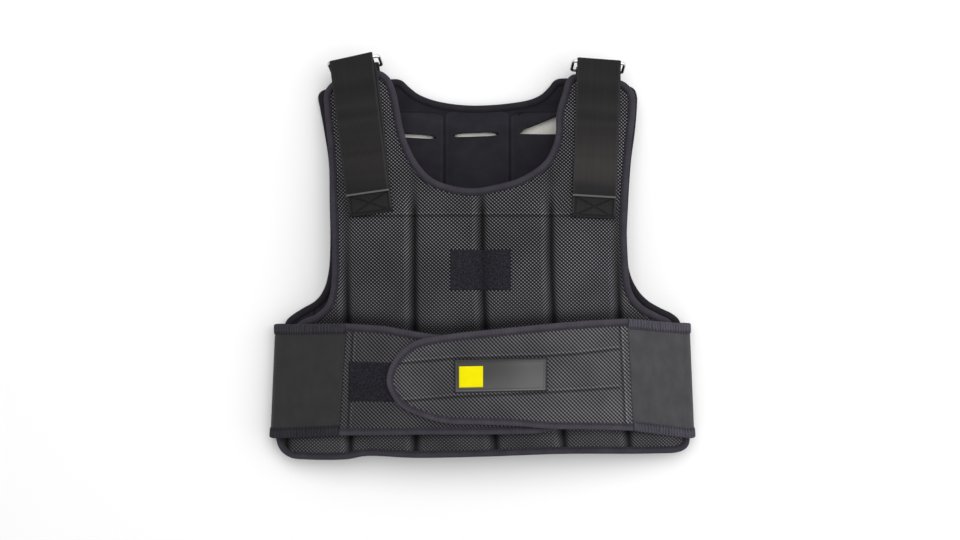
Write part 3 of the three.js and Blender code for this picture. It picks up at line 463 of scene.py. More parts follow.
# Pockets: centre across, top edge, how far the slit gapes at its right end, its slope and half length
POCKETS = [
    (BACK_GROOVES[0] + 1.5 * CHANNEL_PITCH, 0.1433, 0.0, -0.06, 28.9 * MM),
    (BACK_GROOVES[0] + 2.5 * CHANNEL_PITCH - 1.4 * MM, 0.1448, 0.0, 0.035, 27 * MM),
    (BACK_GROOVES[0] + 3.5 * CHANNEL_PITCH, 0.1452, 0.022, 0.0, 27 * MM),
]


def row_end(x):
    """Level of the seam over the pockets: 172 mm up in the middle channel and 169 mm in the others,
    turned down by up to 6 mm at the channel lines."""
    middle = np.abs(x - BACK_GROOVES[0] - 2.5 * CHANNEL_PITCH)
    channel = np.min([np.abs(x - line) for line in BACK_GROOVES], axis=0)
    level = mix(172 * MM, 169 * MM, smooth((middle - 36.5 * MM) / (3 * MM)))
    return level - 6 * MM * np.exp(-channel / (5 * MM))


BACK_FULL, BACK_WING, BACK_SHOULDER = 21 * MM, 14 * MM, 12 * MM
PAD_START, PAD_RISE = 8 * MM, 20 * MM


def pad_share(depth):
    """0 in the thin rim, easing to 1 in the full pad by the depth inside the outline."""
    return smooth((depth - PAD_START) / PAD_RISE)


def back_heights(x, y, depth):
    """Top and bottom of the back panel: between the thin rim and the full pad by the depth inside the
    outline, less the channel valleys, with the bottom raised over the belt."""
    up = y / HALF_LENGTH
    share = pad_share(depth)
    beyond = smooth((y - row_end(x) + 2.5 * MM) / (9 * MM))
    full = mix(mix(BACK_FULL, BACK_WING, wing_share(x)), BACK_SHOULDER, beyond)
    groove = back_groove(x) * 3.4 * MM + 0.35 * MM * ripples(x, y, 60 * MM, 3)
    row = 1.8 * MM * valley(y - row_end(x), 3.2 * MM) * smooth((0.120 - np.abs(x)) / 0.020)
    lips = 0.0
    for centre, slit_top, _, slope, half in POCKETS:
        slit = slit_top - 2.6 * MM + slope * (x - centre)
        near = np.hypot(np.maximum(np.abs(x - centre) - half, 0), y - slit) / (4.5 * MM)
        lips = lips + 0.8 * MM * np.exp(-(near**2))
    top = mix(BACK_EDGE + EDGE_HALF, full, share) - (np.maximum(groove, row) - lips) * share
    under = 4.8 * MM * smooth((-0.26 - up) / 0.05)
    bottom = mix(BACK_EDGE - EDGE_HALF, under + 0.3 * MM, share) + back_groove(x) * 3 * MM * share
    return top, bottom


back_line = panel_outline(BACK_SIDES, BACK_SHOULDERS, BACK_NECK, BACK_NECK_LOW, BACK_HEM)
back_inner = back_line + inward_normals(back_line, True) * RIM_INSET
back_places, back_faces = filled_outline(back_inner, 2.8 * MM, 3.4 * MM, 1.8 * MM)
back_depth = depth_inside(back_line, back_places)
back_top, back_bottom = back_heights(back_places[:, 0], back_places[:, 1], back_depth)

back_points, back_shell = two_layers(back_places, back_faces, back_top, back_bottom)
back_panel = cloth_piece(
    "padded_back", back_points, back_shell, back_points[:, :2], lining, "back_panel")


def prism(corners, low, high):
    """Closed upright prism over a line of corners, given anticlockwise: points and faces."""
    corners = np.asarray(corners, dtype=float)
    count = len(corners)
    points = np.vstack([np.column_stack([corners, np.full(count, level)]) for level in (low, high)])
    sides = [[i, (i + 1) % count, (i + 1) % count + count, i + count] for i in range(count)]
    return points, [list(range(count - 1, -1, -1)), list(range(count, 2 * count))] + sides


def cut_away(piece, name, corners, low, high):
    """Takes a prism out of a piece with a boolean, and leaves no cutter behind."""
    points, faces = prism(corners, low, high)
    mesh = bpy.data.meshes.new(name)
    mesh.from_pydata(points.tolist(), [], faces)
    mesh.materials.append(piece.data.materials[0])
    cutter = bpy.data.objects.new(name, mesh)
    scene.collection.objects.link(cutter)
    cut = piece.modifiers.new(name, "BOOLEAN")
    cut.object = cutter
    cut.operation = "DIFFERENCE"
    cut.solver = "EXACT"
    cut_mesh = bpy.data.meshes.new_from_object(piece.evaluated_get(bpy.context.evaluated_depsgraph_get()))
    piece.modifiers.clear()
    piece.data = cut_mesh
    bpy.data.objects.remove(cutter)


def box_corners(left, right, low, high):
    """Corners of an upright rectangle, anticlockwise."""
    return [(left, low), (right, low), (right, high), (left, high)]


POCKET_HALF, POCKET_LENGTH, POCKET_FLOOR = 28.5 * MM, 115 * MM, 6 * MM
GAPING_SLIT = ((-27.5, -2.2), (0, -2.7), (27, -2.6), (28, 20), (20, 20.4), (-2, 11), (-21, 3.2))
for number, (centre, top, gape, slope, half) in enumerate(POCKETS):
    left, right = centre - POCKET_HALF, centre + POCKET_HALF
    ceiling = 150 * MM if gape else top + 1 * MM
    hollow = box_corners(left, right, ceiling - POCKET_LENGTH, ceiling)
    cut_away(back_panel, f"pocket_{number}", hollow, POCKET_FLOOR, 16.9 * MM)
    if gape:
        cut_away(back_panel, "pocket_end", box_corners(left, right, 0.122, 0.1668), 2.2 * MM, 12.9 * MM)
        slit = [(centre + x * MM, top + y * MM) for x, y in GAPING_SLIT]
    else:
        across = np.linspace(-1, 1, 25)
        lean = slope * half * across
        taper = np.sqrt(np.maximum(1 - np.abs(across) ** 5, 0))
        middle = top - 2.9 * MM + lean
        low_edge = np.column_stack([centre + half * across, middle - 2.0 * MM * taper])
        high_edge = np.column_stack([centre + half * across, middle + 2.3 * MM * taper**2])
        slit = np.vstack([low_edge, high_edge[-2:0:-1]])
    cut_away(back_panel, f"slit_{number}", slit, 10 * MM, 40 * MM)

# Weights
# Each pocket holds a flat bar in a pale coated cloth bag; only its upper end shows through the slit.
WEIGHT_BOX = (56 * MM, 118 * MM, 10 * MM)


def weight_finish():
    """Pale coated cloth: a fine weave under a soft coat, with faint smudges."""
    material, tree, shader = new_finish("pale_coated_cloth", 0.55)
    u, v, place = cloth_place(tree)
    weave = wave(u, 1.1 * MM) * wave(v, 1.1 * MM)
    tone = ramp(cloud(place, 70.0, 4.0), 0.3, 0.7, 0.0, 1.0)
    feed(shader, "Base Color", blend_colours(tone, (0.56, 0.55, 0.51, 1), (0.68, 0.67, 0.63, 1)))
    raise_surface(shader, weave, 0.06 * MM)
    feed(shader, "Roughness", ramp(tone, 0.0, 1.0, 0.48, 0.62))
    return material


def pillow_box(centre, size, corner, count):
    """Closed soft box: a sphere's grid whose sines and cosines are raised to a low power, so that its
    sides are flat and its edges round."""
    around = np.linspace(0, 2 * np.pi, count, endpoint=False)
    rise = np.linspace(-np.pi / 2, np.pi / 2, count // 2 + 1)[1:-1]
    turn, lift = np.meshgrid(around, rise)

    def squared(value):
        return np.sign(value) * np.abs(value) ** corner

    x = squared(np.cos(turn)) * squared(np.cos(lift))
    y = squared(np.sin(turn)) * squared(np.cos(lift))
    z = squared(np.sin(lift))
    body = stacked(x, y, z).reshape(-1, 3)
    points = np.vstack([body, [[0, 0, -1], [0, 0, 1]]]) * (np.array(size) / 2) + np.array(centre)
    rows = len(rise)
    here = np.arange(rows * count).reshape(rows, count)
    low, high = here[:-1], here[1:]
    faces = stacked(low, np.roll(low, -1, 1), np.roll(high, -1, 1), high).reshape(-1, 4).tolist()
    south, north = rows * count, rows * count + 1
    ring, crown_ring = here[0], here[-1]
    faces += np.stack([np.roll(ring, -1), ring, np.full(count, south)], axis=1).tolist()
    faces += np.stack([crown_ring, np.roll(crown_ring, -1), np.full(count, north)], axis=1).tolist()
    return points, faces


pale_cloth = weight_finish()
for (centre, top, gape, _, _), node in zip(POCKETS, ("weight_left", "weight_centre", "weight_right")):
    place = (centre, top + 0.95 * gape + 0.8 * MM - WEIGHT_BOX[1] / 2, 6.3 * MM + WEIGHT_BOX[2] / 2)
    bar_points, bar_faces = pillow_box(place, WEIGHT_BOX, 0.25, 48)
    if gape:
        bar_points[:, 2] -= 3.7 * MM * smooth((bar_points[:, 1] - 0.124) / 0.022)
    cloth_piece(f"{node}_bag", bar_points, bar_faces, bar_points[:, :2], pale_cloth, node)

# Binding of the back panel
# A knitted tape is folded over the whole edge of the panel and sewn through with one line of
# stitches near its inner edge, so that it puckers a little along the way.
TAPE_DEPTH = 8.5 * MM
TAPE_WALL = 1.0 * MM
SEWN_GAP = 0.35 * MM


def tape_finish(name, tone, folds):
    """Matt knitted tape: lengthwise knit ribs, a dark stitch line near the inner edge, a painted highlight
    along its rounded crown and small changes of tone, with painted shade and light across the folds where it
    is gathered. u runs along the tape, and v is the distance from its nearer inner edge."""
    material, tree, shader = new_finish(name, 0.9)
    u, v, place = cloth_place(tree)
    # Painted shade and light across the gathered folds, by the folds' strength.
    gathers = wave(u + cloud(place, 120.0) * (6 * MM), 3.6 * MM) * folds
    knit = wave(v, 1.0 * MM) * wave(u, 1.3 * MM)
    near = ramp(abs(v - 1.9 * MM), 0.0, 0.75 * MM, 1.0, 0.0)
    thread = near * ramp(wave(u, 3.4 * MM), -0.6, 0.0, 0.0, 1.0)
    # Painted highlight along the tape's rounded crown.
    crown = ramp(v, 1.5 * MM, 5.5 * MM, 0.0, 1.0)
    shade = cloud(place, 60.0, 3.0) * 0.7 + knit * 0.1
    light = shade + gathers + crown * 0.28
    dark = tuple(0.62 * part for part in tone) + (1.0,)
    pale = tuple(1.3 * part for part in tone) + (1.0,)
    colour = blend_colours(ramp(light, 0.1, 0.95, 0.0, 1.0), dark, pale)
    sewn = blend_colours(thread * 0.8, colour, tuple((0.35 * part for part in tone)) + (1.0,))
    feed(shader, "Base Color", sewn)
    raise_surface(shader, knit * 0.25 - near + thread * 0.6, 0.35 * MM)
    feed(shader, "Roughness", ramp(knit, -1.0, 1.0, 0.82, 0.95))
    return material


def tape_section(depth, half_gap, wall):
    """Section of a folded tape, as (inward, above): its outer line from the upper inner edge over the
    rounded nose to the lower one, and its inner line the same way. Both have as many points."""
    outer_half = half_gap + wall
    nose = min(outer_half * 0.8, depth * 0.45)
    into = np.linspace(depth, nose, 7)
    turn = np.linspace(np.pi / 2, -np.pi / 2, 9)[1:-1]
    belly = 0.12 * MM * np.sin(np.pi * (depth - into) / (depth - nose) * 0.75)
    lip = np.array([0.25, 0.8] + [1.0] * 5)
    upper_outer = np.column_stack([into, half_gap + wall * lip + belly])
    arc_outer = np.column_stack([nose - nose * np.cos(turn), outer_half * np.sin(turn)])
    lower_outer = upper_outer[::-1] * (1, -1)
    outer = np.vstack([upper_outer, arc_outer, lower_outer])
    upper_inner = np.column_stack([into, np.full(7, half_gap)])
    arc_inner = np.column_stack([nose - (nose - wall) * np.cos(turn), half_gap * np.sin(turn)])
    inner = np.vstack([upper_inner, arc_inner, upper_inner[::-1] * (1, -1)])
    return outer, inner


def carried_tape(points, inward, facing, depth, half_gap, wall, closed, pucker, pitch, seed):
    """The tape's section carried along a line: each point is the station plus the section's two numbers
    times the inward and the facing direction, with the outer line swelling in uneven puckers."""
    outer, inner = tape_section(depth, half_gap, wall)
    steps = np.linalg.norm(np.diff(points, axis=0, append=points[:1] if closed else points[-1:]), axis=1)
    length = np.concatenate([[0], np.cumsum(steps)])[:-1]
    dice = np.random.default_rng(seed)
    drift = np.interp(length, np.linspace(0, length[-1], 40), dice.uniform(-1.6, 1.6, 40))
    swell = np.sin(2 * np.pi * length / pitch + drift * 2)
    swell *= 0.6 + 0.4 * np.sin(length / (3.1 * pitch) + drift)
    weight = np.clip((depth - outer[:, 0]) / depth * 1.6, 0.25, 1.0) * np.sign(outer[:, 1])
    above = outer[None, :, 1] + pucker * swell[:, None] * weight[None, :]
    start, inward, facing = points[:, None], inward[:, None], facing[:, None]
    ring_outer = start + inward * outer[None, :, :1] + facing * above[..., None]
    ring_inner = start + inward * inner[None, :, :1] + facing * inner[None, :, 1:]
    ring = np.concatenate([ring_outer, ring_inner[:, ::-1]], axis=1)
    count, size = ring.shape[:2]
    across = lengths_along(outer)
    from_lip = np.minimum(across, across[-1] - across)
    cloth_v = np.concatenate([from_lip, from_lip[::-1]])
    cloth = stacked(length[:, None], cloth_v[None, :])
    here = np.arange(count * size).reshape(count, size)
    if closed:
        here = np.vstack([here, here[:1]])
    low, high = here[:-1], here[1:]
    faces = stacked(low, high, np.roll(high, -1, 1), np.roll(low, -1, 1)).reshape(-1, 4)
    if not closed:
        half = size // 2
        first = np.arange(half - 1)
        cap = np.stack([first, first + 1, size - 2 - first, size - 1 - first], axis=1)
        faces = np.vstack([faces, cap + (count - 1) * size, cap[:, ::-1]])
    flat_ring = ring.reshape(-1, 3)
    return flat_ring, outwards(flat_ring, faces), cloth.reshape(-1, 2)


def outwards(points, faces):
    """The closed faces turned to face outwards: the volume that they enclose is the sum over their
    triangles of a dot b cross c, over six, and is less than nothing when they face inwards."""
    a = points[faces[:, 0]]
    volume = 0.0
    for second in range(1, faces.shape[1] - 1):
        volume += (a * np.cross(points[faces[:, second]], points[faces[:, second + 1]])).sum() / 6
    return faces[:, ::-1] if volume < 0 else faces


def edge_stations(line, edge_height, depth):
    """Stations on a panel's outline at the height of its edge, with the inward direction led to the edge
    height at the tape's inner side, and facing straight up."""
    normals = inward_normals(line, True, 3)
    inner = line + normals * depth
    start = np.column_stack([line, edge_height(line[:, 0], line[:, 1])])
    end = np.column_stack([inner, edge_height(inner[:, 0], inner[:, 1])])
    return start, (end - start) / depth, np.tile([0.0, 0.0, 1.0], (len(line), 1))


def bind_edge(name, node, line, edge_height, finish, seed):
    """Binds a panel's whole outline with the folded tape, which puckers by 0.16 mm every 9 mm or so."""
    stations = edge_stations(line, edge_height, TAPE_DEPTH)
    points, faces, cloth = carried_tape(
        *stations, TAPE_DEPTH, EDGE_HALF + SEWN_GAP, TAPE_WALL, True, 0.16 * MM, 9 * MM, seed)
    cloth_piece(name, points, faces, cloth, finish, node)


# The back's binding finish is the knitted tape painted darker, for the shade that it lies in.
back_tape = tape_finish("knitted_back_binding", (.0165, .0148, .0195), 0.05)
bind_edge(
    "back_edge_binding", "back_binding", back_line, lambda x, y: np.full_like(x, BACK_EDGE), back_tape, 11)

# Front panel
# The padded front: black spacer mesh with pale dots over foam and weights, sewn into upright ribs,
# with one seam across the chest. It rises in the middle over the torso's space.
FRONT_SIDES = np.array([
    (-.898, -.99, .995), (-.636, -.972, .975), (-.4, -.935, .94), (-.318, -.865, .9), (-.284, -.79, .835),
    (-.237, -.741, .756), (-.169, -.719, .706), (0, -.711, .686), (.254, -.72, .684), (.542, -.734, .707),
    (.712, -.752, .727), (.805, -.754, .722),
])
FRONT_SHOULDERS = np.array([
    (-.72, .856, .687, .851), (-.652, .881, .645, .871), (-.557, .905, .537, .881), (-.49, .912, .43, .893),
    (-.444, .88, .398, .862),
])
FRONT_NECK = np.array([
    (.8, -.409, .379), (.7, -.389, .35), (.606, -.37, .346), (.542, -.349, .332), (.457, -.306, .287),
    (.381, -.24, .18), (.343, -.156, .057),
])
FRONT_NECK_LOW = (-.045, .327)
FRONT_HEM = np.array([
    (-.965, -.963), (-.915, -.996), (-.85, -1.002), (-.646, -.997), (-.55, -.979), (-.32, -.985), (0, -.978),
    (.38, -.966), (.82, -.972), (.94, -.968), (.982, -.945),
])
CROWN = np.array([
    (-1.02, .68, .49), (-.593, .91, .584), (-.318, .977, .59), (0, 1, .6), (.254, .955, .58),
    (.508, .818, .523), (.7, .693, .477), (1.02, .455, .375),
])
CHEST_HEIGHT = 0.088
CROWN_REACH, CROWN_POWER = 0.180, 2.2
FRONT_FULL, FRONT_WING = 20 * MM, 14 * MM
FRONT_GROOVES = np.array([(-.642, -.63), (-.323, -.321), (-.007, .059), (.314, .382), (.631, .691)])
GROOVE_FADE = (0.05, 0.33, 0.6, 0.33, 0.05)
SEAM_UP, SEAM_REACH = 0.194, 0.150
EDGE_DROP = 10 * MM
RIB_REACH, RIB_FALL, RIB_DEPTH, RIB_PITCH = 7.2 * MM, 21 * MM, 7.2 * MM, 78 * MM


def along(table, column, place):
    """A table's column at a place of its first column: the cubic between two rows with their slopes."""
    stops, values = table[:, 0], table[:, column]
    slopes = np.gradient(values)
    spans = np.gradient(stops)
    low = np.clip(np.searchsorted(stops, place) - 1, 0, len(stops) - 2)
    span = stops[low + 1] - stops[low]
    t = np.clip((place - stops[low]) / span, 0, 1)
    slope_a, slope_b = slopes[low] / spans[low] * span, slopes[low + 1] / spans[low + 1] * span
    return (
        (2 * t**3 - 3 * t**2 + 1) * values[low] + (t**3 - 2 * t**2 + t) * slope_a
        + (3 * t**2 - 2 * t**3) * values[low + 1] + (t**3 - t**2) * slope_b
    )


def crown(x, y):
    """Height of the front's outer hull: from the middle's height it falls to the side's height by the
    2.2th power of the distance from the middle over 180 mm."""
    up = y / HALF_LENGTH
    middle, side = along(CROWN, 1, up) * CHEST_HEIGHT, along(CROWN, 2, up) * CHEST_HEIGHT
    return middle - (middle - side) * (np.abs(x) / CROWN_REACH) ** CROWN_POWER


def front_groove_x(index, y):
    """Place across of a front channel line: from its chest place it bends more and more towards its hem
    place, as the 1.6th power of the way down."""
    share = np.clip((0.04 - y / HALF_LENGTH) / 0.96, 0, 1) ** 1.6
    return mix(FRONT_GROOVES[index, 0], FRONT_GROOVES[index, 1], share) * HALF_WIDTH


def groove_strength(index, y):
    """1 below the chest seam, fading to the channel's own share above it; the outermost two are only
    half as deep until well below the seam."""
    up = y / HALF_LENGTH
    full = mix(0.45, 1.0, smooth((0.15 - up) / 0.4)) if index in (0, 4) else 1.0
    return mix(full, GROOVE_FADE[index], smooth((up - SEAM_UP) / 0.14))


BELT_TOP = np.array([
    (-155, -77.1), (-112, -79.5), (-89, -83.3), (-61, -87.8), (-28, -86.8), (-3, -84.3), (37, -80.2),
    (77, -76.5), (117, -73.4), (165, -71.4),
]) * MM
BELT_LOW = np.array([(-155, -206), (0, -203), (165, -201)]) * MM


def belt_press(x, y):
    """How far the belt presses the front in: 5 mm under it, rounding off within 10 mm of its edges."""
    above = np.maximum(y - np.interp(x, *BELT_TOP.T), 0)
    below = np.maximum(np.interp(x, *BELT_LOW.T) - y, 0)
    return 5 * MM * np.exp(-((above / (8 * MM)) ** 1.5)) * np.exp(-((below / (8 * MM)) ** 1.5))


def front_groove(x, y):
    """Depth share of the ribs' valleys and of the seam across the chest, with a wide soft fall towards
    each valley."""
    deep, wide = 0.0, 0.0
    for index in range(5):
        away = x - front_groove_x(index, y)
        strength = groove_strength(index, y)
        deep = np.maximum(deep, strength * valley(away, RIB_REACH))
        wide = np.maximum(wide, strength * np.exp(-((away / RIB_FALL) ** 2)))
    off_seam = np.abs(y - SEAM_UP * HALF_LENGTH)
    seam = smooth((SEAM_REACH - np.abs(x)) / 0.012) * np.exp(-((off_seam / (3.4 * MM)) ** 1.3))
    return np.maximum(deep, 0.42 * seam) + 0.26 * wide


def front_top(x, y, depth):
    """Top of the front panel: the hull less the ribs' valleys, the cloth's small ripples and the belt's
    press, with puckers just above the seam; by the depth inside the outline it eases from the thin rim."""
    share = pad_share(depth)
    hull = crown(x, y)
    chest = smooth((y - 0.050) / 0.02) * np.exp(-((y - 0.052) / (16 * MM)) ** 2)
    puckers = 0.45 * MM * chest * np.sin(2 * np.pi * x / (11 * MM) + 3 * ripples(x, y, 90 * MM, 5))
    cloth = 0.45 * MM * ripples(x, y, 55 * MM, 7) + 0.5 * MM
    drop = RIB_DEPTH * front_groove(x, y) + cloth - puckers + belt_press(x, y)
    return mix(hull - EDGE_DROP + EDGE_HALF, hull, share) - drop * share


def front_bottom(x, y, depth):
    """Underside of the front panel: the hull less the padding, 20 mm or 14 mm in the wings, drawn up
    under the ribs' valleys; by the depth inside the outline it eases from the thin rim."""
    share = pad_share(depth)
    hull = crown(x, y)
    full = hull - mix(FRONT_FULL, FRONT_WING, wing_share(x))
    return mix(hull - EDGE_DROP - EDGE_HALF, full, share) + 2.8 * MM * front_groove(x, y) * share


def groove_stretch():
    """Extra cloth that a valley takes up, from its middle outwards: the running sum of the root of one
    plus the slope squared, less one. Gives distances and sums."""
    away = np.linspace(0, 45 * MM, 400)
    drop = RIB_DEPTH * (valley(away, RIB_REACH) + 0.26 * np.exp(-((away / RIB_FALL) ** 2)))
    extra = np.sqrt(1 + np.gradient(drop, away) ** 2) - 1
    return away, np.concatenate([[0], np.cumsum(extra[1:] * np.diff(away))])


STRETCH_AWAY, STRETCH_SUM = groove_stretch()


def front_cloth(x, y):
    """Place on the flat cloth: across, the place plus what each valley takes up; up, the place itself."""
    u = x.copy()
    for index in range(5):
        away = x - front_groove_x(index, y)
        u += groove_strength(index, y) * np.sign(away) * np.interp(np.abs(away), STRETCH_AWAY, STRETCH_SUM)
    return np.column_stack([u, y])


def mesh_finish(name, dot_tone, thread_tone, hole_tone, pitch_up, falling_share, even_tone=None):
    """Spacer mesh: staggered dots from the sum of two crossing sets of slanting threads, 4.35 mm apart
    across, one set stronger; pale at the dots, darker threads and near-black holes between. The value ribs
    says how far a place is from a rib's valley: the other set shows on its left wall, which gets a painted
    highlight, and painted shade darkens the valley's bottom and its right wall, where the cloth is also
    pressed. quilt does so for seam lines, with painted shade in each crease and a painted highlight on the
    ridge above it. painted_belt_shade is 1 where the cloth goes under the belt and eases off above its top
    edge, for painted shade there, and the cloth is painted lighter towards the right. An even tone lies over
    the pattern towards the belly, and in the valleys as part of their painted shade."""
    material, tree, shader = new_finish(name, 0.8, 0.12)
    u, v, place = cloth_place(tree)
    wander = (cloud(place, 18.0) - 0.5) * (1.0 * MM)
    turn_u = (u + wander) / (4.35 * MM)
    turn_v = (v + wander) / pitch_up
    falling = wave(turn_u + turn_v, 1.0)
    rising = wave(turn_u - turn_v, 1.0)
    sine, cosine, strength = parts(kept_value(tree, "ribs", "Vector"))
    away = maths("ARCTAN2", sine, cosine) * (RIB_PITCH / (2 * np.pi))
    left = ramp(away, -13 * MM, -9 * MM, 0.0, 1.0) * ramp(away, -1.6 * MM, -0.3 * MM, 1.0, 0.0)
    right = ramp(away, -0.3 * MM, 1.2 * MM, 0.0, 1.0) * ramp(away, 6 * MM, 16 * MM, 1.0, 0.0)
    left, right = left * strength, right * strength
    core = ramp(abs(away - 0.5 * MM), 0.8 * MM, 8.0 * MM, 1.0, 0.0) * strength
    lean = right * 0.8 - left
    share = falling_share + lean * 0.34
    lattice = falling * share + rising * (1.0 - share)
    dots = ramp(lattice, 0.15, 0.85, 0.0, 1.0)
    threads = ramp(lattice, -0.75, 0.15, 0.0, 1.0)
    base = blend_colours(threads, hole_tone, thread_tone)
    colour = blend_colours(dots, base, dot_tone)
    if even_tone:
        # An even tone over the pattern towards the belly, and in the valleys as part of their painted shade.
        even_share = ramp(v, -150 * MM, 5 * MM, 0.45, 0.0) + core * 0.4
        colour = blend_colours(even_share, colour, even_tone)
    # Painted shade in each seam's crease and a painted highlight on the ridge just above it.
    crease, ridge_highlight = 0.0, 0.0
    for offset in parts(kept_value(tree, "quilt", "Vector")):
        crease = greater(crease, ramp(abs(offset), 0.2 * MM, 2.8 * MM, 1.0, 0.0))
        ridge_highlight = greater(ridge_highlight, ramp(abs(offset - 2.6 * MM), 0.2 * MM, 1.9 * MM, 1.0, 0.0))
    patchy_and_painted_light = ramp(cloud(place, 14.0, 3.0), 0.3, 0.7, 0.76, 1.12)
    patchy_and_painted_light = patchy_and_painted_light * (ridge_highlight * 0.5 + 1.0 - crease * 0.5)
    # Painted shade at the bottom of each valley and on its right wall, where the cloth is also pressed, and a
    # painted highlight on its left wall.
    pressed = 1.0 - (core * 0.7 + right * 0.18)
    patchy_and_painted_light = patchy_and_painted_light * (pressed + left * 0.16)
    # Painted shade where the cloth goes under the belt and just above its top edge, and painted light towards
    # the right side.
    painted_belt_shade = kept_value(tree, "painted_belt_shade")
    patchy_and_painted_light = patchy_and_painted_light * (ramp(u, 40 * MM, 150 * MM, 1.0, 1.15) - painted_belt_shade * 0.5)
    feed(shader, "Base Color", dimmed(colour, patchy_and_painted_light))
    raise_surface(shader, dots * 0.6 + threads * 0.4 - crease * 2.0, 0.3 * MM)
    feed(shader, "Roughness", ramp(dots, 0.0, 1.0, 0.9, 0.62))
    return material


spacer_mesh = mesh_finish(
    "spacer_mesh", (.170, .169, .183, 1), (.019, .0187, .0215, 1), (.0015, .0015, .0022, 1), 3.97 * MM, 0.58,
    (.0400, .0397, .0440, 1))
front_line = panel_outline(FRONT_SIDES, FRONT_SHOULDERS, FRONT_NECK, FRONT_NECK_LOW, FRONT_HEM)
front_inner = front_line + inward_normals(front_line, True) * RIM_INSET
front_places, front_faces = filled_outline(front_inner, 2.3 * MM, 2.8 * MM, 1.5 * MM)
front_depth = depth_inside(front_line, front_places)
front_x, front_y = front_places.T
front_high, front_low = (height(front_x, front_y, front_depth) for height in (front_top, front_bottom))
front_points, front_shell = two_layers(front_places, front_faces, front_high, front_low)
front_uv = np.tile(front_cloth(front_x, front_y), (2, 1))
front_panel = cloth_piece(
    "padded_front", front_points, front_shell, front_uv, spacer_mesh, "front_panel")


def rib_turns(x, y):
    """Sine and cosine of a turn that is whole at each channel line, and the strength of the valleys
    there: the turn is the place's share of the way from one line to the next."""
    lines = [front_groove_x(index, y) for index in range(5)]
    lines.append(2 * lines[4] - lines[3])
    turn = (x - lines[0]) / (lines[1] - lines[0])
    for index in range(1, 5):
        share = (x - lines[index]) / (lines[index + 1] - lines[index])
        turn = np.where(x > lines[index], index + share, turn)
    weights = np.array([np.exp(-(((x - lines[index]) / (25 * MM)) ** 2)) + 1e-9 for index in range(5)])
    strengths = np.array([groove_strength(index, y) for index in range(5)])
    strength = (weights * strengths).sum(axis=0) / weights.sum(axis=0)
    return np.column_stack([np.sin(2 * np.pi * turn), np.cos(2 * np.pi * turn), strength])


def name_values(piece, name, values):
    """Keeps a number, or a row of three, for each point of a piece under a name."""
    values = np.asarray(values, dtype=np.float32)
    kind, field = ("FLOAT", "value") if values.ndim == 1 else ("FLOAT_VECTOR", "vector")
    piece.data.attributes.new(name, kind, "POINT").data.foreach_set(field, values.ravel())


def name_lines(piece, offsets):
    """Keeps for each point the distances above up to three seam lines; a missing line is 1 m away."""
    lines = np.ones((len(piece.data.vertices), 3))
    lines[:, : len(offsets)] = np.column_stack(offsets)
    name_values(piece, "quilt", lines)


seam_offset = np.where(np.abs(front_x) < SEAM_REACH, front_y - SEAM_UP * HALF_LENGTH, 1.0)
above_belt = front_y - np.interp(front_x, *BELT_TOP.T)
# Painted shade for the mesh where it goes under the belt and just above the belt's top edge.
painted_belt_shade = smooth(1 - (above_belt - 1 * MM) / (19 * MM)) * (np.abs(above_belt) < 0.1)
name_lines(front_panel, [np.tile(seam_offset, 2)])
name_values(front_panel, "painted_belt_shade", np.tile(painted_belt_shade, 2))
name_values(front_panel, "ribs", np.tile(rib_turns(front_x, front_y), (2, 1)))

# Binding of the front panel
# The same knitted tape, folded over the front's whole edge; its finish is paler because the back's is painted
# darker for shade.
binding_tape = tape_finish("knitted_front_binding", (.034, .0310, .0400), 0.05)
bind_edge(
    "front_edge_binding", "front_binding", front_line, lambda x, y: crown(x, y) - EDGE_DROP, binding_tape, 12)

# Shoulder straps
# Each is one length of 50 mm woven webbing, sewn to the chest, led over the ring's near bar and laid
# back on itself, where loop tape holds it.
STRAP_WIDTH = 50 * MM
STRAP_THICKNESS = 1.6 * MM
BAR_HEIGHT = 42 * MM
BEND_RADIUS = 3.2 * MM
SHOULDERS = {"left": (-.622, .962, 7.5, .09), "right": (.5525, .95, -2.7, -.06)}


def shoulder_frame(side):
    """Where the ring's near bar is, the direction across the strap and the direction down it."""
    across, up, lean, slope = SHOULDERS[side]
    turn = np.radians(lean)
    start = np.array([across * HALF_WIDTH, up * HALF_LENGTH, BAR_HEIGHT])
    return start, np.array([np.cos(turn), np.sin(turn), slope]), np.array([np.sin(turn), -np.cos(turn), 0.0])


# How far the ring and then the tab have slipped along the bar, and how much of its width the strap is
# turned near the bar and how far its lower layer has slid across
SLIPS = {"left": (2.6 * MM, 5.2 * MM), "right": (0.0, 0.0)}
SKEWS = {"left": (0.075, 3.6 * MM), "right": (-0.02, 0.8 * MM)}


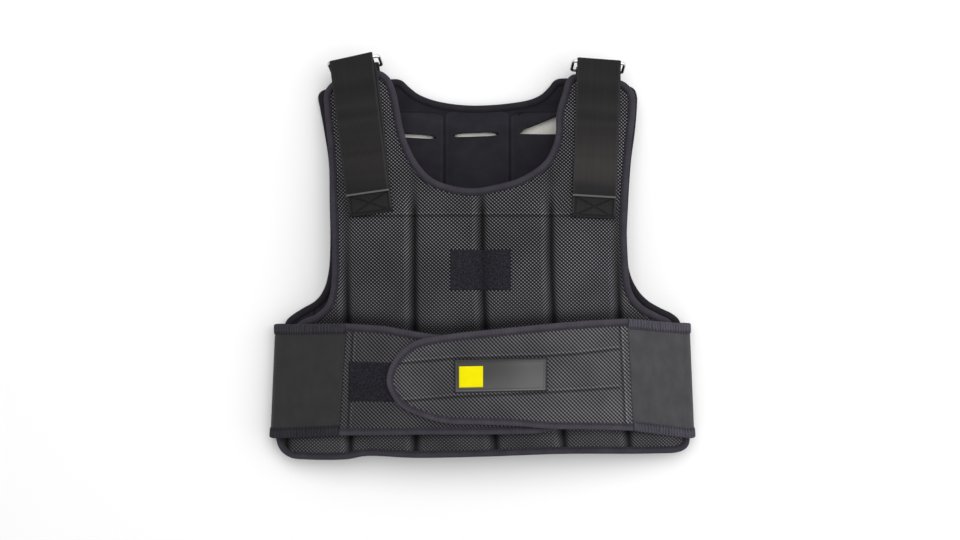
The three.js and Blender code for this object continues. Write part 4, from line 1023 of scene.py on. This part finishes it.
def shell(grid, thickness, cloth):
    """Closed sheet about a grid of points: the grid moved half the thickness both ways along its normal,
    less at its border, with a rim that stands out a little so that the edges are round."""
    rows, columns = grid.shape[:2]
    normal = unit(np.cross(np.gradient(grid, axis=1), np.gradient(grid, axis=0)))
    fill = np.ones((rows, columns, 1))
    fill[[0, -1], :] = 0.6
    fill[:, [0, -1]] = 0.6
    half = fill * np.broadcast_to(np.asarray(thickness), (rows, columns))[..., None] / 2
    top, low = grid + normal * half, grid - normal * half
    index = np.arange(rows * columns).reshape(rows, columns)
    loop = np.concatenate([index[0, :-1], index[:-1, -1], index[-1, :0:-1], index[:0:-1, 0]])
    row, column = np.divmod(loop, columns)
    inner = grid[np.clip(row, 1, rows - 2), np.clip(column, 1, columns - 2)]
    out = grid[row, column] - inner
    out -= normal[row, column] * (out * normal[row, column]).sum(axis=1)[:, None]
    ring = grid[row, column] + unit(out) * half[row, column] * 0.7
    points = np.vstack([top.reshape(-1, 3), low.reshape(-1, 3), ring])
    a, b, c, d = index[:-1, :-1], index[:-1, 1:], index[1:, 1:], index[1:, :-1]
    upper = stacked(a, b, c, d).reshape(-1, 4)
    total = rows * columns
    ring_index = 2 * total + np.arange(len(loop))
    after, ring_after = np.roll(loop, -1), np.roll(ring_index, -1)
    rim_top = np.stack([after, loop, ring_index, ring_after], axis=1)
    rim_low = np.stack([ring_after, ring_index, loop + total, after + total], axis=1)
    faces = np.vstack([upper, upper[:, ::-1] + total, rim_top, rim_low])
    flat = cloth.reshape(-1, 2)
    return points, faces, np.vstack([flat, flat, flat[loop]])


def webbing_finish():
    """Woven webbing: fine lengthwise ribs crossed by the weave, faint bands across, a paler cut end with
    painted shade in a band just above it, rubbed edges, a box of stitches with a cross in it at the sewn end,
    a warm painted highlight behind the cut end, stronger on the right, and darker cloth towards the ring. u
    runs across from the middle and v along from the cut end."""
    material, tree, shader = new_finish("woven_webbing", 0.62)
    u, v, place = cloth_place(tree)
    ribs = wave(u, 1.9 * MM)
    cross = wave(v, 1.1 * MM)
    weave = ribs * 0.6 + cross * (ribs * 0.4)
    sewn = kept_value(tree, "from_sewn")
    inside = ramp(sewn, 24 * MM, 25 * MM, 1.0, 0.0)
    side = abs(u)
    cross_line = abs(side - abs(sewn - 13 * MM) * 2.0)
    stitches = ramp(cross_line, 0.8 * MM, 2.6 * MM, 1.0, 0.0)
    for line in (sewn - 2.8 * MM, side - 21.5 * MM):
        stitches = greater(stitches, ramp(abs(line), 0.4 * MM, 1.2 * MM, 1.0, 0.0))
    stitches = stitches * inside
    streaks = cloud(place, 1.0, stretch=(260.0, 6.0, 1.0))
    bands = cloud(place, 1.0, stretch=(4.0, 45.0, 1.0))
    tone = weave * 0.14 + (streaks * 0.35 + bands * 0.65)
    colour = blend_colours(
        ramp(tone, 0.25, 0.75, 0.0, 1.0), (0.0058, 0.0052, 0.0057, 1), (0.0178, 0.0162, 0.0171, 1)
    )
    # Warm painted highlight behind the cut end, stronger on the right strap.
    warm_painted_highlight = ramp(v, 9 * MM, 26 * MM, 0.0, 0.55) * ramp(v, 38 * MM, 84 * MM, 1.0, 0.0)
    warm_painted_highlight = warm_painted_highlight * ramp(parts(object_place(tree))[0], -20 * MM, 20 * MM, 0.1, 1.0)
    warm_painted_highlight = warm_painted_highlight * (bands + 0.5)
    colour = blend_colours(warm_painted_highlight, colour, (0.0345, 0.0295, 0.028, 1))
    colour = blend_colours(ramp(v, 88 * MM, 150 * MM, 0.0, 0.35), colour, (0.007, 0.0066, 0.0072, 1))
    edge = ramp(abs(u), 22.6 * MM, 24.2 * MM, 0.0, 0.5)
    rubbed = blend_colours(edge, colour, (0.028, 0.026, 0.027, 1))
    # A paler cut end, and painted shade in a band just above it, joined with the dark stitches.
    pale_cut_end = ramp(v, 1.2 * MM, 2.2 * MM, 1.0, 0.0)
    painted_end_shade = ramp(v, 3.0 * MM, 7.0 * MM, 0.6, 0.0)
    stitches_and_painted_shade = blend_colours(greater(painted_end_shade, stitches * 0.75), rubbed, (0.0062, 0.0058, 0.006, 1))
    feed(shader, "Base Color", blend_colours(pale_cut_end, stitches_and_painted_shade, (0.098, 0.097, 0.094, 1)))
    raise_surface(shader, weave - stitches * 6.0, 0.16 * MM)
    feed(shader, "Roughness", ramp(streaks, 0.3, 0.7, 0.5, 0.72))
    return material


webbing = webbing_finish()


BELOW_LENGTH, ABOVE_LENGTH, BAR_START = 181 * MM, 157 * MM, 1.5 * MM


def strap_grid(side):
    """Centre surface of a strap. From the sewn end it runs up to the bar below, half round the bar and
    back down above: the height eases from the bar's level to the chest over the first 45 mm."""
    start, across, down = shoulder_frame(side)
    share = np.linspace(-0.5, 0.5, 25)
    below, above = np.linspace(BELOW_LENGTH, BAR_START, 110), np.linspace(BAR_START, ABOVE_LENGTH, 96)
    bend = np.linspace(-np.pi / 2, np.pi / 2, 13)
    length = np.concatenate([below, -np.cos(bend) * BEND_RADIUS, above])[:, None]
    rise = np.concatenate([-np.ones(110), np.sin(bend), np.ones(96)])[:, None]
    layer = np.concatenate([np.zeros(110), (np.sin(bend) + 1) / 2, np.ones(96)])[:, None]
    skew, slip = SKEWS[side]
    slide = (1 - layer) * slip * smooth(length / 0.02) * (1 - 0.7 * smooth((length - 0.06) / 0.1))
    turned = share[None] * STRAP_WIDTH * skew * (1 - smooth(length / 0.06))
    flat = start + across * (share * STRAP_WIDTH + slide)[..., None] + down * (length - turned)[..., None]
    x, y, bar = flat[..., 0], flat[..., 1], flat[..., 2]
    lift = 1.6 * MM + layer * 2.2 * MM
    waves = 0.5 * MM * layer * smooth(length / 0.05) * np.sin(length / (31 * MM) + 1.1)
    waves = waves + 0.25 * MM * ripples(x, y, 70 * MM, 21)
    pressed = (1 - layer) * smooth((length - 0.150) / 0.010) * 1.0 * MM
    lain = crown(x, y) + lift + np.maximum(waves, -0.2 * MM) - pressed
    z = mix(bar + rise * BEND_RADIUS, lain, smooth(length / 0.045))
    grid = stacked(x, y, z)
    run = lengths_along(grid[:, len(share) // 2])
    return grid, stacked((share * STRAP_WIDTH)[None], (run[-1] - run)[:, None]), run[-1]


def strap_thickness(rows):
    """Thickness across the webbing: even, with a selvedge that stands a little proud at both sides."""
    share = np.abs(np.linspace(-1, 1, 25))
    return np.tile(STRAP_THICKNESS * (0.94 + 0.12 * np.exp(-(((share - 0.92) / 0.05) ** 2))), (rows, 1))


for side in SHOULDERS:
    grid, cloth, strap_length = strap_grid(side)
    points, faces, flat = shell(grid, strap_thickness(len(grid)), cloth)
    piece = cloth_piece(f"shoulder_strap_{side}", points, faces, flat, webbing, f"strap_{side}")
    name_values(piece, "from_sewn", strap_length - flat[:, 1])

# Rings
# Rectangles of bright plated steel wire, 4 mm thick, welded closed, held between strap and tab.
WIRE_RADIUS = 2.0 * MM
RING_LENGTH, RING_HEIGHT, RING_CORNER = 60 * MM, 20 * MM, 3 * MM
RING_LEAN = np.radians(65)


def steel_finish():
    """Bright plated wire: metal with fine drawn scratches and a few duller patches."""
    material, tree, shader = new_finish("plated_steel", 0.25)
    place = object_place(tree)
    worn = cloud(place, 240.0, 4.0)
    feed(shader, "Base Color", blend_colours(worn, (0.62, 0.62, 0.63, 1), (0.84, 0.84, 0.85, 1)))
    feed(shader, "Roughness", ramp(worn, 0.3, 0.8, 0.16, 0.36))
    raise_surface(shader, worn, 0.05 * MM)
    shader.inputs["Metallic"].default_value = 1.0
    return material


def ring_short(down):
    """Direction of the ring's short side: down the strap and into the vest, at 65 degrees."""
    return down * np.cos(RING_LEAN) + np.array([0.0, 0.0, -np.sin(RING_LEAN)])


def ring_wire(side):
    """Closed tube about a rectangle with round corners: at each station a circle of 16 points in the
    plane of the outward direction and the ring's facing direction."""
    start, across, down = shoulder_frame(side)
    long, short = unit(across), ring_short(down)
    short = unit(short - long * (short @ long))
    facing = np.cross(long, short)
    centre = start + short * RING_HEIGHT / 2 + long * SLIPS[side][0]
    turn = (np.arange(4)[:, None] * np.pi / 2 + np.linspace(0, np.pi / 2, 9)[None]).ravel()
    corner = np.repeat([(1, 1), (-1, 1), (-1, -1), (1, -1)], 9, axis=0)
    out = long * np.cos(turn)[:, None] + short * np.sin(turn)[:, None]
    middle = (
        centre + long * corner[:, :1] * (RING_LENGTH / 2 - RING_CORNER)
        + short * corner[:, 1:] * (RING_HEIGHT / 2 - RING_CORNER) + out * RING_CORNER
    )
    angle = np.linspace(0, 2 * np.pi, 16, endpoint=False)
    ring = middle[:, None] + WIRE_RADIUS * (
        out[:, None] * np.cos(angle)[None, :, None] + facing * np.sin(angle)[None, :, None])
    here = np.arange(ring.shape[0] * 16).reshape(-1, 16)
    there = np.roll(here, -1, axis=0)
    faces = stacked(here, there, np.roll(there, -1, 1), np.roll(here, -1, 1)).reshape(-1, 4)
    points = ring.reshape(-1, 3)
    return points, outwards(points, faces)


plated_steel = steel_finish()
for side in SHOULDERS:
    points, faces = ring_wire(side)
    cloth_piece(f"wire_ring_{side}", points, faces, points[:, :2], plated_steel, f"ring_{side}")

# Tabs
# Short loops of the same webbing round the ring's far bar, sewn inside the back panel's shoulder.
TAB_WIDTH = 50 * MM
TAB_SEWN_LEVEL = 14.8 * MM
TAB_REACH, TAB_SEWN_LENGTH = 14 * MM, 22 * MM


def tab_grid(side):
    """Centre surface of a tab: flat on the shoulder, up to the bar, half round it and back, one layer
    above the other."""
    start, across, down = shoulder_frame(side)
    bar = start + ring_short(down) * RING_HEIGHT
    rise = np.arctan2(bar[2] - TAB_SEWN_LEVEL, TAB_REACH)
    bend = np.linspace(-np.pi / 2 + rise, np.pi / 2 + rise, 13)
    lower, upper = TAB_SEWN_LEVEL, TAB_SEWN_LEVEL + 2.2 * MM
    far = TAB_REACH + TAB_SEWN_LENGTH
    lower_run = [(far, lower), (TAB_REACH + 6 * MM, lower), (TAB_REACH + 2 * MM, lower + 0.1 * MM)]
    round_run = np.column_stack([-np.cos(bend) * BEND_RADIUS, bar[2] + np.sin(bend) * BEND_RADIUS])
    upper_run = [(TAB_REACH + 2.6 * MM, upper + 0.1 * MM), (TAB_REACH + 6.6 * MM, upper), (far, upper)]
    run = evenly(np.vstack([lower_run, round_run, upper_run]), 0.9 * MM, False)
    share = np.linspace(-0.5, 0.5, 17)
    grid = bar + across * (share * TAB_WIDTH + SLIPS[side][1])[None, :, None] + down * run[:, :1][:, None]
    lean = (across * (share * TAB_WIDTH)[:, None])[:, 2]
    held = smooth(1 - run[:, 0] / TAB_REACH)[:, None]
    grid[..., 2] = run[:, 1:] + lean[None] * held
    length = lengths_along(run)
    return grid, stacked((share * TAB_WIDTH)[None], (length + 3 * MM)[:, None]), length[-1]


for side in SHOULDERS:
    grid, cloth, tab_length = tab_grid(side)
    points, faces, flat = shell(grid, STRAP_THICKNESS, cloth)
    piece = cloth_piece(f"ring_tab_{side}", points, faces, flat, webbing, f"tab_{side}")
    name_values(piece, "from_sewn", np.full(len(points), 1.0))

# Chest patch
# A rectangle of brushed loop tape sewn on the middle of the chest, which folds into the middle rib
# line.


def loop_finish(name, low, high):
    """Brushed loop pile: fuzzy tufts in two sizes, soft and nearly black."""
    material, tree, shader = new_finish(name, 0.95)
    _, _, place = cloth_place(tree)
    inputs = {"Vector": place, "Scale": 620.0, "Randomness": 1.0}
    tufts = wire(tree, "ShaderNodeTexVoronoi", inputs, "Distance")
    fuzz = cloud(place, 520.0, 5.0) * 0.8 + tufts * 0.35
    feed(shader, "Base Color", blend_colours(ramp(fuzz, 0.3, 0.85, 0.0, 1.0), low, high))
    raise_surface(shader, fuzz, 0.5 * MM)
    feed(shader, "Roughness", ramp(fuzz, 0.3, 0.8, 0.85, 1.0))
    return material


def laid_piece(name, across, up, level, thickness, finish, node):
    """A rectangle of cloth laid flat: a grid of places with their level, given its thickness."""
    places = np.meshgrid(across, up)
    points, faces, flat = shell(stacked(*places, level(*places)), thickness, stacked(*places))
    return cloth_piece(name, points, faces, flat, finish, node)


chest_loop = loop_finish("brushed_loop", (.0024, .0022, .0040, 1), (.0225, .0217, .0285, 1))
piece = laid_piece(
    "chest_loop_patch", np.linspace(-36, 32, 70) * MM, np.linspace(-38.5, 6.6, 46) * MM,
    lambda x, y: front_top(x, y, np.full_like(x, 0.1)) + 0.8 * MM, 1.0 * MM, chest_loop,
    "chest_patch")

# Belt back
# The flat part of the belt runs under the back panel: mesh cloth between two tapes.
piece = laid_piece(
    "belt_under_back", np.linspace(-0.150, 0.150, 80), np.linspace(-0.897, -0.3355, 50) * HALF_LENGTH,
    lambda x, y: np.full_like(x, 1.5 * MM), 2.9 * MM, spacer_mesh, "belt_back")
name_lines(piece, [np.ones(len(piece.data.vertices))])

# Elastic sides of the belt
# Wide smooth elastic runs from the belt's back round each side of the vest to the flaps; its upper
# and lower edges are bound with tape that the elastic gathers.
UNDER_EDGE = np.array([
    (-.636, -.3265, -.674, -.874), (-.46, -.337, -.49, -.869), (-.365, -.353, -.29, -.864),
    (-.25, -.372, -.012, -.862), (-.02, -.394, .15, -.86), (.15, -.415, .28, -.854),
    (.3, -.449, .36, -.826), (.4, -.508, .42, -.746),
])
UNDER_TIP = (.445, -.627)
OVER_EDGE = np.array([
    (.678, -.3025, .71, -.852), (.478, -.311, .512, -.84), (.314, -.324, .314, -.833),
    (.15, -.34, .15, -.818), (-.012, -.357, -.012, -.811), (-.115, -.368, -.178, -.804),
    (-.302, -.403, -.339, -.753), (-.364, -.442, -.395, -.715), (-.425, -.518, -.434, -.652),
])
OVER_TIP = (-.447, -.597)
CLOTH = 2.0 * MM
BELT_WALL, BELT_GAP = 0.7 * MM, 0.35 * MM
ELASTIC_TAPE_DEPTH, FLAP_TAPE_DEPTH = 12 * MM, 8.6 * MM
FOLD_DEPTH = 8 * MM
HALF_TAPE = CLOTH / 2 + BELT_GAP + BELT_WALL


def elastic_surface(sign, edge, fold_top, fold_low, share, inset):
    """Centre surface of an elastic side: across the floor, round the fold as half an ellipse and up over
    the front's hull to the flap. share goes from the upper edge, 0, to the lower, 1, and inset keeps it
    off both. Gives points by station and share, and the run along the belt."""
    top_across, top_up, low_across, low_up = edge[0]
    height = (fold_top - fold_low) * HALF_LENGTH
    way = mix(inset / height, 1 - inset / height, np.asarray(share, dtype=float))[None]
    fold_y = mix(fold_top, fold_low, way) * HALF_LENGTH
    end_y = mix(top_up, low_up, way) * HALF_LENGTH
    end_x = np.abs(mix(top_across, low_across, way)) * HALF_WIDTH + 0.4 * MM
    fold_x = mix(243.5 * MM, 249 * MM, way) - HALF_TAPE - FOLD_DEPTH
    floor_level = 0.05 * MM + HALF_TAPE
    top_level = crown(fold_x, fold_y) + 1.6 * MM + CLOTH / 2
    on_floor, round_fold, on_top = (np.linspace(0, 1, count)[:, None] for count in (26, 30, 46))
    floor_part = stacked(mix(150.4 * MM, fold_x, on_floor), fold_y, floor_level)
    angle = mix(-np.pi / 2, np.pi / 2, round_fold[1:-1])
    fold_level = (floor_level + top_level) / 2 + np.sin(angle) * (top_level - floor_level) / 2
    fold_part = stacked(fold_x + np.cos(angle) * FOLD_DEPTH, fold_y, fold_level)
    top_x, top_y = mix(fold_x, end_x, on_top), mix(fold_y, end_y, on_top)
    top_part = stacked(top_x, top_y, crown(top_x, top_y) + 1.6 * MM + CLOTH / 2)
    points = np.concatenate([floor_part, fold_part, top_part]) * (sign, 1, 1)
    return points, lengths_along(points[:, points.shape[1] // 2]), height


def elastic_finish(name, low, high):
    """Smooth woven elastic: fine cords along the belt, a tighter cross rib, mottled where it is
    stretched, and a soft gloss."""
    material, tree, shader = new_finish(name, 0.5)
    u, v, place = cloth_place(tree)
    cords = wave(v, 1.4 * MM)
    rib = wave(u, 1.0 * MM)
    mottle = cloud(place, 1.0, 4.0, (90.0, 55.0, 1.0))
    tone = mottle * 0.8 + (cords + rib) * 0.05
    feed(shader, "Base Color", blend_colours(ramp(tone, 0.2, 0.65, 0.0, 1.0), low, high))
    raise_surface(shader, cords + rib, 0.07 * MM)
    feed(shader, "Roughness", ramp(mottle, 0.3, 0.7, 0.5, 0.66))
    return material


elastics = {"left": (-1, UNDER_EDGE, -.3355, -.897), "right": (1, OVER_EDGE, -.331, -.897)}
# The right elastic's finish is a lit copy of the left's, painted lighter for the light from the right side.
elastic_weaves = {
    "left": elastic_finish("elastic_left_weave", (.0215, .0216, .0226, 1), (.0295, .0296, .0306, 1)),
    "right": elastic_finish("elastic_right_weave", (.0440, .0428, .0468, 1), (.0620, .0604, .0656, 1)),
}
# Lit and shaded copies of one gathered tape: the right ones painted lighter for the light from the right
# side, the left ones darker.
gathered_tapes = {
    "left_top": tape_finish("gathered_left_binding", (.0285, .0268, .0336), 0.3),
    "left_low": tape_finish("gathered_left_low_binding", (.0205, .0195, .0250), 0.3),
    "right_top": tape_finish("gathered_right_binding", (.0560, .0520, .0660), 0.3),
    "right_low": tape_finish("gathered_right_low_binding", (.0500, .0465, .0590), 0.3),
}
for side, (sign, edge, fold_top, fold_low) in elastics.items():
    share = np.linspace(0, 1, 44)
    grid, run, height = elastic_surface(sign, edge, fold_top, fold_low, share, BELT_WALL + BELT_GAP)
    if sign > 0:
        grid = grid[:, ::-1]
    points, faces, flat = shell(grid, CLOTH, stacked(run[:, None], share[None] * height))
    piece = cloth_piece(
        f"belt_elastic_{side}", points, outwards(points, faces), flat, elastic_weaves[side],
        f"elastic_{side}")
    tapes = []
    for place, name in ((0.0, "top"), (1.0, "low")):
        outer, run, _ = elastic_surface(sign, edge, fold_top, fold_low, [place], 0.0)
        inner, _, _ = elastic_surface(sign, edge, fold_top, fold_low, [place], ELASTIC_TAPE_DEPTH)
        fine = np.arange(0, run[-1], 0.8 * MM)
        line, other = (
            stacked(*(np.interp(fine, run, column) for column in curve[:, 0].T)) for curve in (outer, inner))
        inward = unit(other - line)
        facing = unit(np.cross(unit(np.gradient(line, axis=0)), inward))
        points, faces, flat = carried_tape(
            line, inward, facing, ELASTIC_TAPE_DEPTH, CLOTH / 2 + BELT_GAP, BELT_WALL,
            False, 0.55 * MM, 3.8 * MM, 31 + len(tapes) + sign)
        points[:, 2] = np.maximum(points[:, 2], 0.02 * MM)
        tapes.append(cloth_piece(
            f"gathered_tape_{side}_{name}", points, faces, flat, gathered_tapes[f"{side}_{name}"],
            f"elastic_{side}_{name}_tape"))

# Belt flaps
# Two flaps of mesh cloth close over the front; the right one lies on top and ends in a rounded tip.
# Each has a bound edge and is quilted with lines of stitches.


def belt_level(lift):
    """Level function of a belt layer: the front's hull plus its lift, given as a number or function."""
    def level(x, y):
        raised = lift(x) if callable(lift) else lift
        return crown(x, y) + raised + CLOTH / 2
    return level


under_level = belt_level(1.6 * MM)
over_level = belt_level(lambda x: mix(6.35 * MM, 1.6 * MM, smooth((x - 0.116) / 0.044)))


def flap_line(edge, tip):
    """Open line from the upper end at the elastic round the tip to the lower end, evenly spaced."""
    knots = np.vstack([edge[:, :2], [tip], edge[::-1][:, 2:]]) * (HALF_WIDTH, HALF_LENGTH)
    return evenly(rounded_curve(knots, 12, False), 2.2 * MM, False)


def above_line(x, y, knots):
    """Distance of places above a quilt line given by its knots, which ends at the flap's end seam."""
    knots = np.asarray(knots) * MM
    return np.where(x < 0.159, y - np.interp(x, *knots.T), 1.0)


QUILT_LINES = [
    [(-89, -121.6), (-33, -116.0), (73, -113.2), (110, -111), (153, -106.5)],
    [(-88, -165), (-33, -159.7), (73, -154.8), (153, -150.8)],
]


def flap(side, edge, tip, level, inward_sign, quilt):
    """A flap: the outline filled with triangles at its level plus half the cloth, pressed in along its
    quilt lines, and the tape folded over its rounded edge."""
    line = flap_line(edge, tip)
    normals = inward_normals(line, False) * inward_sign
    border = unit(line[-1] - line[0])
    normals[0], normals[-1] = border, -border
    inner = line + normals * (BELT_WALL + BELT_GAP)
    closing = evenly(np.array([inner[-1], inner[0]]), 2.2 * MM, False)[1:-1]
    closed = np.vstack([inner, closing])
    places, faces = filled_outline(closed, 2.2 * MM, 2.2 * MM, 1.2 * MM)
    x, y = places.T
    depth = depth_inside(closed, places)
    pad = smooth((depth - 8 * MM) / (9 * MM))
    offsets = [offset(x, y) for offset in quilt]
    dents = sum((np.exp(-((np.abs(offset) / (4.2 * MM)) ** 1.4)) for offset in offsets), np.zeros(len(x)))
    dents = np.clip(dents, 0, 1)
    swell = 1.3 * MM * pad * (1 - dents) - 0.35 * MM * dents
    swell += 0.3 * MM * pad * ripples(x, y, 45 * MM, 41 + len(side))
    middle = level(x, y)
    points, shell_faces = two_layers(places, faces, middle + CLOTH / 2 + swell, middle - CLOTH / 2)
    piece = cloth_piece(
        f"{side}_flap_cloth", points, shell_faces, np.tile(places, (2, 1)), belt_meshes[side],
        f"{side}_flap")
    name_lines(piece, [np.tile(offset, 2) for offset in offsets])
    slopes = [
        (level(*(line + step).T) - level(*(line - step).T)) / (2 * MM) for step in np.eye(2) * 1 * MM]
    facing = unit(np.column_stack([-slopes[0], -slopes[1], np.ones(len(line))]))
    inward = np.column_stack([normals, np.zeros(len(line))])
    inward -= facing * (inward * facing).sum(axis=1)[:, None]
    stations = np.column_stack([line, level(*line.T)])
    points, tape_faces, flat = carried_tape(
        stations, inward, facing, FLAP_TAPE_DEPTH, CLOTH / 2 + BELT_GAP, BELT_WALL,
        False, 0.18 * MM, 8 * MM, 51 + len(side))
    tape = cloth_piece(
        f"{side}_flap_binding", points, tape_faces, flat, flap_tapes[side], f"{side}_flap_tape")
    a, b, c = (places[faces[:, corner]].T for corner in range(3))
    area = np.abs((b[0] - a[0]) * (c[1] - a[1]) - (b[1] - a[1]) * (c[0] - a[0])).sum() / 2
    return piece, tape, np.ptp(places, axis=0), area


belt_meshes = {
    "under": mesh_finish(
        "under_flap_mesh", (.100, .099, .108, 1), (.040, .0395, .0430, 1), (.007, .007, .0085, 1),
        4.4 * MM, 0.72),
    "over": mesh_finish(
        "over_flap_mesh", (.136, .135, .146, 1), (.056, .0553, .0600, 1), (.009, .009, .0108, 1),
        4.4 * MM, 0.72),
}
flap_tapes = {
    "under": tape_finish("knitted_under_binding", (.040, .0365, .0470), 0.08),
    "over": tape_finish("knitted_flap_binding", (.0465, .0425, .0540), 0.08),
}
under_seam = lambda x, y: x + 0.1511 - (y + 0.14) * 0.054
over_seam = lambda x, y: x - 0.1605 + (y + 0.14) * 0.06
over_quilts = [over_seam] + [(lambda x, y, knots=knots: above_line(x, y, knots)) for knots in QUILT_LINES]
under_piece, under_tape, under_size, under_area = flap(
    "under", UNDER_EDGE, UNDER_TIP, under_level, 1, [under_seam])
over_piece, over_tape, over_size, over_area = flap("over", OVER_EDGE, OVER_TIP, over_level, -1, over_quilts)

# Belt patch
# Loop tape on the under flap, which the over flap's hook tape holds; part of it stays bare.
belt_loop = loop_finish("belt_loop", (.0020, .0018, .0034, 1), (.0215, .0206, .0275, 1))
piece = laid_piece(
    "belt_loop_patch", np.linspace(-152.5, -60, 84) * MM, np.linspace(-166, -121, 44) * MM,
    lambda x, y: under_level(x, y) + CLOTH / 2 + 1.0 * MM + 0.35 * MM, 1.0 * MM, belt_loop,
    "belt_patch")

# Badge
# A soft moulded plate sewn on the over flap: a raised border round a sunk field, and a plain yellow
# square let into its left end.


BADGE_BOX, SQUARE_BOX = (-32, 73, -116.2, -154), (-26.5, 0.5, -124.5, -148.5)
BADGE_TILT = 0.02


def rubber_finish():
    """Soft moulded plate: dark grey with a painted sheen, paler towards its lower right, a fine grain and a
    black line round its rim and inside its raised frame."""
    material, tree, shader = new_finish("soft_moulded_plate", 0.42, 0.4)
    u, v, place = cloth_place(tree)
    left, right, top, bottom = (value * MM for value in BADGE_BOX)
    level_v = v - (u - (left + right) / 2) * BADGE_TILT
    low = level_v - bottom
    rim = lesser(lesser(u - left, right - u), lesser(low, top - level_v))
    # Painted sheen: paler towards the right end and the lower edge, over slow changes of tone.
    tone = (
        cloud(place, 22.0, 3.0) * 0.35
        + (ramp(u, -5 * MM, 62 * MM, 0.0, 0.45) + ramp(low, 3 * MM, 30 * MM, 0.35, 0.0))
    )
    colour = blend_colours(
        ramp(tone, 0.1, 1.1, 0.0, 1.0), (0.034, 0.0335, 0.0325, 1), (0.092, 0.093, 0.093, 1)
    )
    outline = ramp(rim, 1.3 * MM, 2.2 * MM, 1.0, 0.0)
    inner_line = ramp(abs(rim - 3.9 * MM), 0.1 * MM, 0.9 * MM, 0.4, 0.0)
    framed = blend_colours(greater(outline, inner_line), colour, (0.008, 0.008, 0.009, 1))
    feed(shader, "Base Color", framed)
    raise_surface(shader, cloud(place, 1500.0, 3.0), 0.06 * MM)
    feed(shader, "Roughness", ramp(cloud(place, 300.0), 0.3, 0.7, 0.42, 0.56))
    return material


def plate(box, level, lift, thickness, border, sunk, tilt, columns, rows):
    """A soft plate that follows a level: its thickness is less by the sunk amount inside the border and
    eases to nothing at its rim."""
    left, right, top, low = (value * MM for value in box)
    across, up = np.meshgrid(np.linspace(0, 1, columns), np.linspace(0, 1, rows))
    x = mix(left, right, across)
    y = mix(low, top, up) + tilt * (x - (left + right) / 2)
    rim = np.minimum(np.minimum(across, 1 - across) * (right - left), np.minimum(up, 1 - up) * (top - low))
    height = thickness * (0.35 + 0.65 * smooth(rim / (0.8 * MM)))
    if border:
        height = height - sunk * smooth((rim - border) / (0.6 * MM))
    base = level(x, y) + lift
    return shell(stacked(x, y, base + height / 2), height, stacked(x, y))


soft_plate = rubber_finish()
over_top = CLOTH / 2 + 1.0 * MM
points, faces, flat = plate(
    BADGE_BOX, over_level, over_top, 1.8 * MM, 2.0 * MM, 0.6 * MM, BADGE_TILT, 190, 70)
cloth_piece("moulded_badge", points, faces, flat, soft_plate, "badge")


def accent_finish():
    """Plain yellow inlay: matt, with slight unevenness of tone and a fine grain."""
    material, tree, shader = new_finish("plain_yellow_inlay", 0.5, 0.05)
    place = object_place(tree)
    tone = ramp(cloud(place, 90.0), 0.3, 0.7, 0.0, 1.0)
    feed(shader, "Base Color", blend_colours(tone, (0.74, 0.655, 0.0003, 1), (0.79, 0.7, 0.0005, 1)))
    raise_surface(shader, cloud(place, 1500.0), 0.04 * MM)
    feed(shader, "Roughness", ramp(cloud(place, 300.0), 0.3, 0.7, 0.42, 0.56))
    return material


points, faces, flat = plate(
    SQUARE_BOX, over_level, over_top + 1.3 * MM, 1.0 * MM, 0, 0, BADGE_TILT, 50, 46)
cloth_piece("yellow_square", points, faces, flat, accent_finish(), "badge_square")
